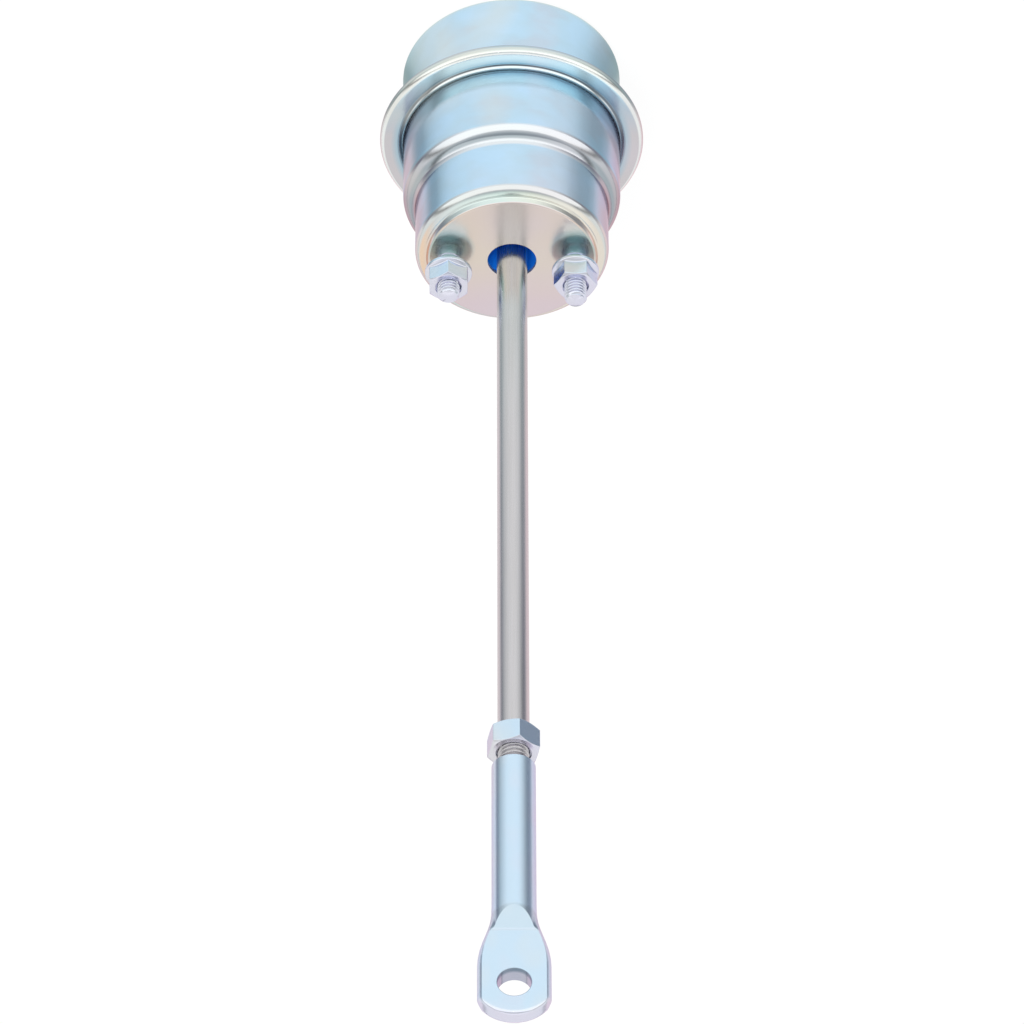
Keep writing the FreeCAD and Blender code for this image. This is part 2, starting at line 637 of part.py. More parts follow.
def sleeve():
    """Round sleeve whose end is pressed down to the eye's thickness by a ramp on each side."""
    ramp_end = EYE_RAMP_START_Z + EYE_RAMP_LENGTH
    blank = turned([
        (0, SLEEVE_MOUTH_Z, 0),
        (SLEEVE_RADIUS - SLEEVE_EDGE_CHAMFER, SLEEVE_MOUTH_Z, 0),
        (SLEEVE_RADIUS, SLEEVE_MOUTH_Z + SLEEVE_EDGE_CHAMFER, 0),
        (SLEEVE_RADIUS, ramp_end, 0),
        (0, ramp_end, 0),
    ])
    half = EYE_THICKNESS / 2
    for side in (-1, 1):
        wedge = Part.makePolygon([
            FreeCAD.Vector(-2 * SLEEVE_RADIUS, side * SLEEVE_RADIUS, EYE_RAMP_START_Z),
            FreeCAD.Vector(-2 * SLEEVE_RADIUS, side * half, ramp_end),
            FreeCAD.Vector(-2 * SLEEVE_RADIUS, side * 2 * SLEEVE_RADIUS, ramp_end),
            FreeCAD.Vector(-2 * SLEEVE_RADIUS, side * SLEEVE_RADIUS, EYE_RAMP_START_Z),
        ])
        blank = blank.cut(Part.Face(wedge).extrude(FreeCAD.Vector(4 * SLEEVE_RADIUS, 0, 0)))
    return blank


def rod_end():
    """Forged rod end: threaded sleeve and flattened eye in one piece."""
    bore_radius = ROD_THREAD_RADIUS + RUNNING_CLEARANCE
    bore_end = SLEEVE_MOUTH_Z + SLEEVE_BORE_DEPTH
    bore = turned([
        (0, SLEEVE_MOUTH_Z - 1, 0),
        (bore_radius + NUT_BORE_CHAMFER + 1, SLEEVE_MOUTH_Z - 1, 0),
        (bore_radius, SLEEVE_MOUTH_Z + NUT_BORE_CHAMFER, 0),
        (bore_radius, bore_end, 0),
        (0, bore_end + SLEEVE_DRILL_POINT, 0),
    ])
    hole = Part.makeCylinder(EYE_HOLE_RADIUS, 2 * EYE_THICKNESS,
                             FreeCAD.Vector(0, -EYE_THICKNESS, EYE_CENTRE_Z), Y_AXIS)
    forging = sleeve().fuse(eye_plate()).removeSplitter()
    return forging.cut(bore).cut(hole)


def pieces():
    """Every node's name with its solid."""
    short_x, long_x = stud_positions()
    return {
        "cover": cover(),
        "hose_nipple": hose_nipple(),
        "spring_can": spring_can(),
        "diaphragm": diaphragm(),
        "retainer_plate": retainer_plate(),
        "piston_cup": piston_cup(),
        "piston_washer": piston_washer(),
        "actuator_rod": actuator_rod(),
        "main_spring": main_spring(),
        "spring_seat": spring_seat(),
        "stud_plate": stud_plate(),
        "short_stud": stud(short_x, SHORT_STUD_PROUD),
        "long_stud": stud(long_x, LONG_STUD_PROUD),
        "short_stud_nut": flange_nut(short_x, SHORT_STUD_NUT_LIFT, SHORT_STUD_NUT_TURN),
        "long_stud_nut": flange_nut(long_x, LONG_STUD_NUT_LIFT, LONG_STUD_NUT_TURN),
        "jam_nut": jam_nut(),
        "rod_end": rod_end(),
    }


os.makedirs("parts", exist_ok=True)
for name, solid in pieces().items():
    print(name, solid.ShapeType, len(solid.Solids), solid.isValid(), round(solid.Volume, 2))
    solid.exportStep(os.path.join("parts", name + ".step"))
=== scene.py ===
import math

import bmesh
import bpy
from mathutils import Matrix, Vector


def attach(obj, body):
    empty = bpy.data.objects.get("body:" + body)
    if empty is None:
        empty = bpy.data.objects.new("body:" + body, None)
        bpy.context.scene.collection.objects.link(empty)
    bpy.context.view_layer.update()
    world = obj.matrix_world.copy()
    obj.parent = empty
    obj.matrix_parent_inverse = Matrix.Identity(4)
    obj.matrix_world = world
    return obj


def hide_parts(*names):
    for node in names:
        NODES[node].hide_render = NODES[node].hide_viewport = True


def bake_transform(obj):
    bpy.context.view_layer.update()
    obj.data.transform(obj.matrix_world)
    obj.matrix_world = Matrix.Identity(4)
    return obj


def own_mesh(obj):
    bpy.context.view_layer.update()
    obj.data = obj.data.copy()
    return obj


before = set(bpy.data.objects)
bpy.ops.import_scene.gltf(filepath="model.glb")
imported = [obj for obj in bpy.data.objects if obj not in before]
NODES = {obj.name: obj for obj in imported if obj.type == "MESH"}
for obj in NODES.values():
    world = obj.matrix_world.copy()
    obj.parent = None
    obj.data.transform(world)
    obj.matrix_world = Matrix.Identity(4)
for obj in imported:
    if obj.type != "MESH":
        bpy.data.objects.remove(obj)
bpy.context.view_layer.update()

# Wastegate actuator: drawn and plated can, polished push rod, screwed-on rod end with an eye.
# Outlines are written in millimetres, as (radius, height, bend radius), and become metres in the mesh.
MM = 0.001

# Fineness of the turned meshes
CAN_SEGMENTS = 256
SMALL_SEGMENTS = 96
BAR_SEGMENTS = 64
ARC_STEP = math.radians(7.5)
SUPPORT = 0.08               # mm, flat strip kept beside every bend so that flats shade flat
CREASE = math.radians(28)
EDGE_ROUND = 0.15            # mm, broken edge of cut sheet
WELD = 0.0004                # mm, points closer than this become one

# Cover and spring can
COVER_RADIUS = 29.1
COVER_SHEET = 0.8
COVER_CORNER = 4.4
COVER_WALL_HEIGHT = 24.85
FLANGE_RADIUS = 35.1
CRIMP_TOP = 28.05
CRIMP_LIP = 5.1
LIP_ROUND = 0.45
FOLD_BEND = 1.55
PORT_RADIUS = 4.05
PORT_Z = 12.0
CAN_SHEET = 1.2
CAN_FLANGE_TOP = 27.25
CAN_FLANGE_GAP = 0.85        # from the flange's edge to the fold round it
CAN_LOWER_RADIUS = 28.8
CAN_UPPER_RADIUS = 25.5
CAN_STEP_Z = 49.15
CAN_STEP_HEIGHT = 1.9
CAN_FACE_Z = 70.8
CAN_LEDGE_Z = 69.1
CAN_FACE_RADIUS = 22.0
CAN_HOLE_RADIUS = 6.4

# Diaphragm
RUBBER = 0.4
PISTON_Z = 4.8
PISTON_SIDE = 21.9
BORE_SIDE = 27.3
ROLL_Z = 32.0
CLAMP_TOP = 26.05
RUBBER_EDGE_GAP = 0.95

# Rod and its thread
ROD_RADIUS = 4.0
ROD_THREAD_START = 232.1
ROD_TIP = 262.2
ROD_PITCH = 1.25
ROD_CREST = 3.93
THREAD_SHARE = 0.6134        # depth of a thread over its pitch

# Spring
WIRE_RADIUS = 1.6
COIL_RADIUS = 17.6
COIL_LOW = 9.55
COIL_HIGH = 60.05
COIL_TURNS = 7.0
COIL_END_PITCH = 3.35
COIL_POINTS = 420

# Studs and flange nuts
STUD_X = 16.65
STUD_RADIUS = 3.0
STUD_ROOT_RADIUS = 3.3
STUD_THREAD_START = 73.3
STUD_PITCH = 1.0
STUD_CREST = 2.95
STUD_PROUD = {"short_stud": 12.8, "long_stud": 14.3}
STUD_PLACE = {"short_stud": STUD_X, "long_stud": -STUD_X}
FLANGE_NUT_FLATS = 10.0
FLANGE_NUT_HEIGHT = 6.0
FLANGE_NUT_RADIUS = 6.2
FLANGE_NUT_BORE = 3.02
FLANGE_NUT_LIFT = {"short_stud_nut": 3.6, "long_stud_nut": 3.3}
FLANGE_NUT_TURN = {"short_stud_nut": 30.0, "long_stud_nut": 0.0}

# Jam nut and rod end
JAM_NUT_FLATS = 12.0
JAM_NUT_HEIGHT = 6.5
JAM_NUT_Z = 232.55
JAM_NUT_TURN = 17.3
JAM_NUT_BORE = 4.02
NUT_FACE_SHARE = 0.97
NUT_CORNER_ROUND = 0.18
NUT_EDGE = 0.12
SLEEVE_RADIUS = 5.5
SLEEVE_MOUTH = 243.1
SLEEVE_BORE = 4.05
SLEEVE_DEPTH = 23.0
EYE_CENTRE = 312.3
EYE_HOLE_RADIUS = 4.2
EYE_HALF_THICKNESS = 2.38
EYE_HALF_WIDTH = 9.05
EYE_TIP = 321.65
EYE_END_RADIUS = 10.2
EYE_BULGE = 1.15
EYE_NECK_Z = 292.0
EYE_SHOULDER_Z = 302.5
EYE_NECK_BLEND = 20.0
EYE_SHOULDER_BLEND = 25.0
RAMP_START = 290.9
RAMP_LENGTH = 5.3
RAMP_FOOT_RADIUS = 1.6
EYE_RIM_ROUND = 1.05


# Outlines

def heading(start, end):
    """Unit direction from one point to another, and the distance."""
    across, up = end[0] - start[0], end[1] - start[1]
    length = math.hypot(across, up)
    return across / length, up / length, length


def turn_at(before, corner, after):
    """Signed angle by which a path turns at a corner, positive to the left."""
    ax, ay, _ = heading(before, corner)
    bx, by, _ = heading(corner, after)
    return math.atan2(ax * by - ay * bx, ax * bx + ay * by)


def bend_reach(corners):
    """How far each bend reaches along its two straights, kept within them."""
    last = len(corners) - 1
    reach = [0.0] * (last + 1)
    for i in range(1, last):
        turn = abs(turn_at(*corners[i - 1:i + 2]))
        reach[i] = corners[i][2] * math.tan(turn / 2)
    limited = list(reach)
    for i in range(last):
        length = heading(corners[i], corners[i + 1])[2]
        asked = reach[i] + reach[i + 1]
        share = min(1.0, 0.999 * length / asked) if asked else 1.0
        limited[i] = min(limited[i], reach[i] * share)
        limited[i + 1] = min(limited[i + 1], reach[i + 1] * share)
    return limited


def bend_points(before, corner, after, reach):
    """Points along the arc that rounds one corner."""
    in_x, in_y, _ = heading(before, corner)
    turn = turn_at(before, corner, after)
    radius = reach / math.tan(abs(turn) / 2)
    side = math.copysign(1.0, turn)
    start = (corner[0] - in_x * reach, corner[1] - in_y * reach)
    centre = (start[0] - in_y * side * radius, start[1] + in_x * side * radius)
    first = math.atan2(start[1] - centre[1], start[0] - centre[0])
    steps = max(3, math.ceil(abs(turn) / ARC_STEP))
    angles = [first + turn * i / steps for i in range(steps + 1)]
    return [(centre[0] + radius * math.cos(a), centre[1] + radius * math.sin(a)) for a in angles]


def with_supports(points):
    """The same path with a point close to each end of every straight."""
    supported = [points[0]]
    for start, end in zip(points, points[1:]):
        dx, dy, length = heading(start, end)
        if length > 6 * SUPPORT:
            dx, dy = dx * SUPPORT, dy * SUPPORT
            supported += [(start[0] + dx, start[1] + dy), (end[0] - dx, end[1] - dy)]
        supported.append(end)
    return supported


def outline(corners):
    """Points of an open path through (radius, height, bend) corners."""
    reach = bend_reach(corners)
    points = [corners[0][:2]]
    for i in range(1, len(corners) - 1):
        if reach[i] < 1e-4:
            points.append(corners[i][:2])
        else:
            points.extend(bend_points(*corners[i - 1:i + 2], reach[i]))
    points.append(corners[-1][:2])
    distinct = [points[0]]
    for point in points[1:]:
        if math.dist(point, distinct[-1]) > 1e-5:
            distinct.append(point)
    return with_supports(distinct)


def offset_path(corners, thickness):
    """The path moved to its left by the sheet's thickness, with its bends following."""
    moved = []
    last = len(corners) - 1
    for i, (r, z, bend) in enumerate(corners):
        before, after = corners[max(i - 1, 0)], corners[min(i + 1, last)]
        dx, dy, _ = heading(before, (r, z)) if i else heading((r, z), after)
        if i in (0, last):
            moved.append((r - dy * thickness, z + dx * thickness, 0.0))
            continue
        turn = turn_at(before, (r, z), after)
        slide = thickness * math.tan(turn / 2)
        point = (r - dy * thickness - dx * slide, z + dx * thickness - dy * slide)
        moved.append((*point, max(bend - math.copysign(thickness, turn), 0.0)))
    return moved


def sheet_section(corners, thickness):
    """Closed section of bent sheet with broken edges at both cut ends."""
    edge = min(EDGE_ROUND, 0.4 * abs(thickness))
    near = [list(c) for c in corners]
    far = [list(c) for c in offset_path(corners, thickness)]
    for path in (near, far):
        path[0][2] = path[-1][2] = edge
    return closed_outline(near + far[::-1])


def closed_outline(corners):
    """Points of a closed path, begun half way along its first straight."""
    first, second = corners[0], corners[1]
    middle = ((first[0] + second[0]) / 2, (first[1] + second[1]) / 2, 0.0)
    return outline([middle] + list(corners[1:]) + [first, middle])[:-1]


# Meshes

def placed(name, data):
    """A new object in the scene."""
    thing = bpy.data.objects.new(name, data)
    bpy.context.collection.objects.link(thing)
    return thing


def new_piece(name, bm, material, crease=CREASE):
    """An object at the origin from a mesh in millimetres, smooth except at creases."""
    bmesh.ops.remove_doubles(bm, verts=bm.verts, dist=WELD)
    bmesh.ops.recalc_face_normals(bm, faces=bm.faces)
    bmesh.ops.scale(bm, vec=(MM, MM, MM), verts=bm.verts)
    mesh = bpy.data.meshes.new(name)
    bm.to_mesh(mesh)
    bm.free()
    smooth(mesh, crease)
    mesh.materials.append(material)
    return placed(name, mesh)


def smooth(mesh, crease=CREASE):
    """Smooth shading with sharp edges where faces meet at more than the crease angle."""
    mesh.polygons.foreach_set("use_smooth", [True] * len(mesh.polygons))
    mesh.set_sharp_from_angle(angle=crease)


def add_strip(bm, ring, following):
    """Faces between two rings of equal count, closed round, with no face where they coincide."""
    count = len(ring)
    for i in range(count):
        j = (i + 1) % count
        corners = list(dict.fromkeys((ring[i], ring[j], following[j], following[i])))
        if len(corners) > 2 and bm.faces.get(corners) is None:
            bm.faces.new(corners)


def add_turned(bm, points, segments, closed=False):
    """Surface of revolution about Z."""
    rings = []
    for r, z in points:
        if r < 1e-6:
            rings.append([bm.verts.new((0.0, 0.0, z))] * segments)
            continue
        angles = [math.tau * i / segments for i in range(segments)]
        rings.append([bm.verts.new((r * math.cos(a), r * math.sin(a), z)) for a in angles])
    following = rings[1:] + rings[:1] if closed else rings[1:]
    for ring, next_ring in zip(rings, following):
        add_strip(bm, ring, next_ring)


def turned_piece(name, points, segments, material, closed=True):
    """One lathe-turned piece about Z."""
    bm = bmesh.new()
    add_turned(bm, points, segments, closed)
    return new_piece(name, bm, material)


def baked(piece):
    """Replaces a piece's mesh by its evaluated one and clears the modifiers."""
    graph = bpy.context.evaluated_depsgraph_get()
    mesh = bpy.data.meshes.new_from_object(piece.evaluated_get(graph))
    old = piece.data
    piece.modifiers.clear()
    piece.data = mesh
    bpy.data.meshes.remove(old)
    mesh.name = piece.name
    return piece


def cut_away(piece, cutters):
    """Subtracts closed pieces and removes them."""
    for cutter in cutters:
        modifier = piece.modifiers.new("cut", "BOOLEAN")
        modifier.operation = "DIFFERENCE"
        modifier.solver = "EXACT"
        modifier.object = cutter
    baked(piece)
    for cutter in cutters:
        bpy.data.objects.remove(cutter)
    smooth(piece.data)
    return piece


def pin(radius, start, end, segments, material):
    """Plain closed pin between two points in millimetres, used to cut a hole."""
    along = Vector(end) - Vector(start)
    bm = bmesh.new()
    add_turned(bm, [(0.0, 0.0), (radius, 0.0), (radius, along.length), (0.0, along.length)], segments)
    turn = along.to_track_quat("Z", "Y").to_matrix().to_4x4()
    bmesh.ops.transform(bm, matrix=Matrix.Translation(start) @ turn, verts=bm.verts)
    return new_piece("cutter", bm, material)


# Node trees

class Wire:
    """An output socket on which arithmetic works, each step as one math node."""

    def __init__(self, socket):
        self.socket = socket

    def __add__(self, other):
        return calc("ADD", self, other)

    def __sub__(self, other):
        return calc("SUBTRACT", self, other)

    def __rsub__(self, other):
        return calc("SUBTRACT", other, self)

    def __mul__(self, other):
        return calc("MULTIPLY", self, other)

    def __truediv__(self, other):
        return calc("DIVIDE", self, other)

    def __abs__(self):
        return calc("ABSOLUTE", self)

    def scaled(self, slope, offset, clamp=False):
        """The value times a slope plus an offset."""
        return calc("MULTIPLY_ADD", self, slope, offset, clamp=clamp)

    def share(self, slope, offset):
        """The same, held between 0 and 1."""
        return self.scaled(slope, offset, clamp=True)


def join(value, socket):
    """Links a wire to an input socket, or sets the socket to a plain value."""
    if isinstance(value, Wire):
        socket.id_data.links.new(value.socket, socket)
    else:
        socket.default_value = (*value, 1.0) if socket.type == "RGBA" else value


def add_node(tree, kind, inputs=None, **properties):
    """A node with its properties, and its inputs set to values or joined to wires."""
    node = tree.nodes.new(kind)
    for key, value in properties.items():
        setattr(node, key, value)
    for key, value in (inputs or {}).items():
        join(value, node.inputs[key])
    return node


def wire(tree, kind, inputs=None, output=0, **properties):
    """One output of a new node."""
    return Wire(add_node(tree, kind, inputs, **properties).outputs[output])


def tree_of(*values):
    """The node tree of the first wire among some values."""
    return next(value.socket.id_data for value in values if isinstance(value, Wire))


def calc(operation, *values, clamp=False):
    """Output of a math node."""
    return wire(tree_of(*values), "ShaderNodeMath", dict(enumerate(values)),
                operation=operation, use_clamp=clamp)


def split(vector):
    """The X, Y and Z parts of a vector."""
    parts = add_node(tree_of(vector), "ShaderNodeSeparateXYZ", {0: vector}).outputs
    return [Wire(parts[axis]) for axis in "XYZ"]


def distance(first, second):
    """Length of the hypotenuse over two values."""
    return calc("SQRT", calc("MULTIPLY_ADD", first, first, second * second))


def ramp(factor, stops):
    """Output of a colour ramp; stops are (position, (r, g, b)), or (position, grey)."""
    node = add_node(tree_of(factor), "ShaderNodeValToRGB", {"Fac": factor})
    band = node.color_ramp.elements
    while len(band) < len(stops):
        band.new(1.0)
    for element, (position, colour) in zip(band, stops):
        element.position = position
        element.color = (*(colour if isinstance(colour, tuple) else (colour,) * 3), 1.0)
    return Wire(node.outputs["Color"])


def mixed(factor, first, second, blend="MIX"):
    """Output of a colour mix."""
    node = add_node(tree_of(factor, first, second), "ShaderNodeMix", data_type="RGBA", blend_type=blend)
    factor_input, first_input, second_input, colour_output = 0, 6, 7, 2
    join(factor, node.inputs[factor_input])
    join(first, node.inputs[first_input])
    join(second, node.inputs[second_input])
    return Wire(node.outputs[colour_output])


def geometry_tree(name, inputs):
    """A new geometry node tree with named inputs; returns it with its input wires."""
    tree = bpy.data.node_groups.new(name, "GeometryNodeTree")
    for label, kind in inputs.items():
        tree.interface.new_socket(name=label, in_out="INPUT", socket_type="NodeSocket" + kind)
    tree.interface.new_socket(name="Mesh", in_out="OUTPUT", socket_type="NodeSocketGeometry")
    return tree, {socket.name: Wire(socket) for socket in tree.nodes.new("NodeGroupInput").outputs}


def end_geometry_tree(tree, mesh, material):
    """Realize Instances, Set Material and the tree's output."""
    real = wire(tree, "GeometryNodeRealizeInstances", {"Geometry": mesh})
    coated = wire(tree, "GeometryNodeSetMaterial", {"Geometry": real, "Material": material})
    add_node(tree, "NodeGroupOutput", {"Mesh": coated})


def wound(tree, geometry, radius, turns, height):
    """Moves every point to a radius, an angle in turns and a height."""
    angle = turns * math.tau
    target = wire(tree, "ShaderNodeCombineXYZ", {
        "X": radius * calc("COSINE", angle), "Y": radius * calc("SINE", angle), "Z": height})
    return wire(tree, "GeometryNodeSetPosition", {"Geometry": geometry, "Position": target})


def grown(tree, name, values):
    """The mesh that a geometry tree makes from the given input values, as a bmesh."""
    carrier = placed(name, bpy.data.meshes.new(name))
    modifier = carrier.modifiers.new(name, "NODES")
    modifier.node_group = tree
    for socket in tree.interface.items_tree:
        if socket.in_out == "INPUT":
            modifier[socket.identifier] = values[socket.name]
    mesh = baked(carrier).data
    bm = bmesh.new()
    bm.from_mesh(mesh)
    bpy.data.objects.remove(carrier)
    bpy.data.meshes.remove(mesh)
    return bm


def thread_tree():
    """A right-hand screw thread as a fine tube whose rows follow the helix.

    It runs in from the plain shank at its start and is chamfered to the root at its end."""
    tree, given = geometry_tree("screw_thread", {
        "Segments": "Int", "Rows": "Int", "Turns": "Float", "Shank Radius": "Float", "Crest Radius": "Float",
        "Depth": "Float", "Pitch": "Float", "Start": "Float", "End": "Float", "Material": "Material"})
    start, end, crest, depth = (given[label] for label in ("Start", "End", "Crest Radius", "Depth"))
    grid = wire(tree, "GeometryNodeMeshGrid", {
        "Size X": 1.0, "Size Y": 1.0, "Vertices X": given["Segments"] + 1.0, "Vertices Y": given["Rows"]})
    x, y, _ = split(wire(tree, "GeometryNodeInputPosition"))
    around = x + 0.5
    along = (y + 0.5) * given["Turns"]
    height = (along + around - 1.0).scaled(given["Pitch"], start)
    height = calc("MINIMUM", calc("MAXIMUM", height, start), end)
    from_crest = abs(calc("FRACT", along) - 0.5)
    crest_half, root_half = 0.07, 0.38
    depth_share = calc("DIVIDE", from_crest - crest_half, root_half - crest_half, clamp=True)
    run_in = calc("DIVIDE", height - start, given["Pitch"], clamp=True)
    radius = (crest - depth_share * depth).scaled(run_in, given["Shank Radius"] * (1.0 - run_in))
    radius = calc("MINIMUM", radius, crest - depth + (end - height))
    tube = wound(tree, grid, radius, around, height)
    welded = wire(tree, "GeometryNodeMergeByDistance", {"Geometry": tube, "Distance": 0.0005})
    end_geometry_tree(tree, welded, given["Material"])
    return tree


def coil_tree():
    """A compression spring: round wire along a helix, close-wound for one turn at each end."""
    tree, given = geometry_tree("coil_spring", {
        "Turns": "Float", "Points": "Int", "Coil Radius": "Float", "Wire Radius": "Float", "Low": "Float",
        "High": "Float", "End Pitch": "Float", "Material": "Material"})
    line = wire(tree, "GeometryNodeCurvePrimitiveLine")
    path = wire(tree, "GeometryNodeResampleCurve", {"Curve": line, "Count": given["Points"]})
    turn = wire(tree, "GeometryNodeSplineParameter", output="Factor") * given["Turns"]
    open_turns = given["Turns"] - 2.0
    open_rise = given["High"] - given["Low"] - given["End Pitch"] * 2.0
    into_open = calc("MAXIMUM", calc("MINIMUM", turn - 1.0, open_turns), 0.0)
    height = (turn - into_open).scaled(given["End Pitch"], given["Low"])
    height = into_open.scaled(open_rise / open_turns, height)
    helix = wound(tree, path, given["Coil Radius"], turn, height)
    section = wire(tree, "GeometryNodeCurvePrimitiveCircle", {
        "Resolution": 20, "Radius": given["Wire Radius"]})
    swept = wire(tree, "GeometryNodeCurveToMesh", {
        "Curve": helix, "Profile Curve": section, "Fill Caps": True})
    end_geometry_tree(tree, swept, given["Material"])
    return tree


# Materials

BLACK, WHITE = (0.0, 0.0, 0.0), (1.0, 1.0, 1.0)


def surface(name):
    """A new material with its tree and the object coordinates."""
    material = bpy.data.materials.new(name)
    material.use_nodes = True
    return material, material.node_tree, wire(material.node_tree, "ShaderNodeTexCoord", output="Object")


def finished(material, colour, roughness, height, bump, metallic, depth=0.0001, grazing=WHITE):
    """Gives a material its colour, roughness, bump from a height pattern, metal share and grazing tint."""
    tree = material.node_tree
    normal = wire(tree, "ShaderNodeBump", {"Height": height, "Strength": bump, "Distance": depth})
    shader = tree.nodes["Principled BSDF"]
    for label, value in (("Base Color", colour), ("Roughness", roughness), ("Normal", normal),
                         ("Metallic", metallic), ("Specular Tint", grazing)):
        join(value, shader.inputs[label])
    return material


def noise(coords, lengthwise, scale, detail=3.0):
    """Noise over the object coordinates, drawn out along Z where lengthwise is under 1."""
    tree = tree_of(coords)
    spread = wire(tree, "ShaderNodeMapping", {"Vector": coords, "Scale": (1.0, 1.0, lengthwise)})
    return wire(tree, "ShaderNodeTexNoise", {"Vector": spread, "Scale": scale, "Detail": detail}, "Fac")


def millimetres(coords):
    """The three object coordinates in millimetres."""
    return [axis * 1000.0 for axis in split(coords)]


def drifting(drift, colour, warm_from, warm, rosy_share, rosy):
    """A colour that drifts to a warm tint where the noise is high and a rosy one where it is low."""
    warmed = mixed(ramp(drift, [(warm_from, 0.0), (0.72, 0.5)]), colour, warm)
    return mixed(ramp(drift, [(0.28, rosy_share), (0.46, 0.0)]), warmed, rosy)


def plated_hardware():
    """Bright zinc plate on turned and forged steel, with painted reflection by facing, bluish on walls and
    lilac on upward faces, and painted shade on the eye's ramp and in its hole.
    """
    material, tree, coords = surface("plated_hardware")
    slope = split(wire(tree, "ShaderNodeTexCoord", output="Normal"))[2]
    # Colour by facing (object-space normal): painted reflection, bluish where faces look sideways and lilac
    # where they look up.
    painted_light_tint = ramp(slope.scaled(0.5, 0.5), [
        (0.0, (0.70, 0.70, 0.80)), (0.3, (0.62, 0.72, 0.86)), (0.5, (0.62, 0.79, 0.93)),
        (0.6, (0.70, 0.82, 0.93)), (0.8, (0.76, 0.81, 0.92)), (0.985, (0.80, 0.80, 0.92))])
    across, deep, height = millimetres(coords)
    ramp_middle, ramp_reach = 293.4, 3.3
    # Darker tint on the eye's ramp: painted shade.
    on_ramp = calc("SUBTRACT", ramp_reach, abs(height - ramp_middle), clamp=True)
    painted_light_tint = mixed(on_ramp, painted_light_tint, (0.54, 0.67, 0.77))
    # Inside the eye's hole the wall is darker, darkest on its -Y side: painted shade.
    in_eye = distance(across, height - EYE_CENTRE).share(-5.0, 5.0 * EYE_HOLE_RADIUS + 1.0)
    near_mouth = calc("SUBTRACT", -0.5, deep, clamp=True)
    painted_light_tint = mixed(in_eye, painted_light_tint, mixed(near_mouth, (0.52, 0.54, 0.65), (0.22, 0.29, 0.37)))
    drift = noise(coords, 0.6, 60.0, 2.0)
    colour = drifting(drift, painted_light_tint, 0.5, (0.80, 0.80, 0.76), 0.45, (0.78, 0.72, 0.84))
    grain = noise(coords, 0.5, 1100.0, 4.0)
    return finished(material, colour, grain.scaled(0.12, 0.12), grain, 0.05, 0.96, grazing=(0.84, 0.76, 0.86))


def zone(height, reach, low, high, near, far, soft):
    """Mask of 1 between two heights and two distances from the axis, with soft borders."""
    above = height.share(1 / soft, 0.5 - low / soft)
    below = height.share(-1 / soft, 0.5 + high / soft)
    beyond = reach.share(1 / soft, 0.5 - near / soft)
    within = reach.share(-1 / soft, 0.5 + far / soft)
    return above * below * (beyond * within)


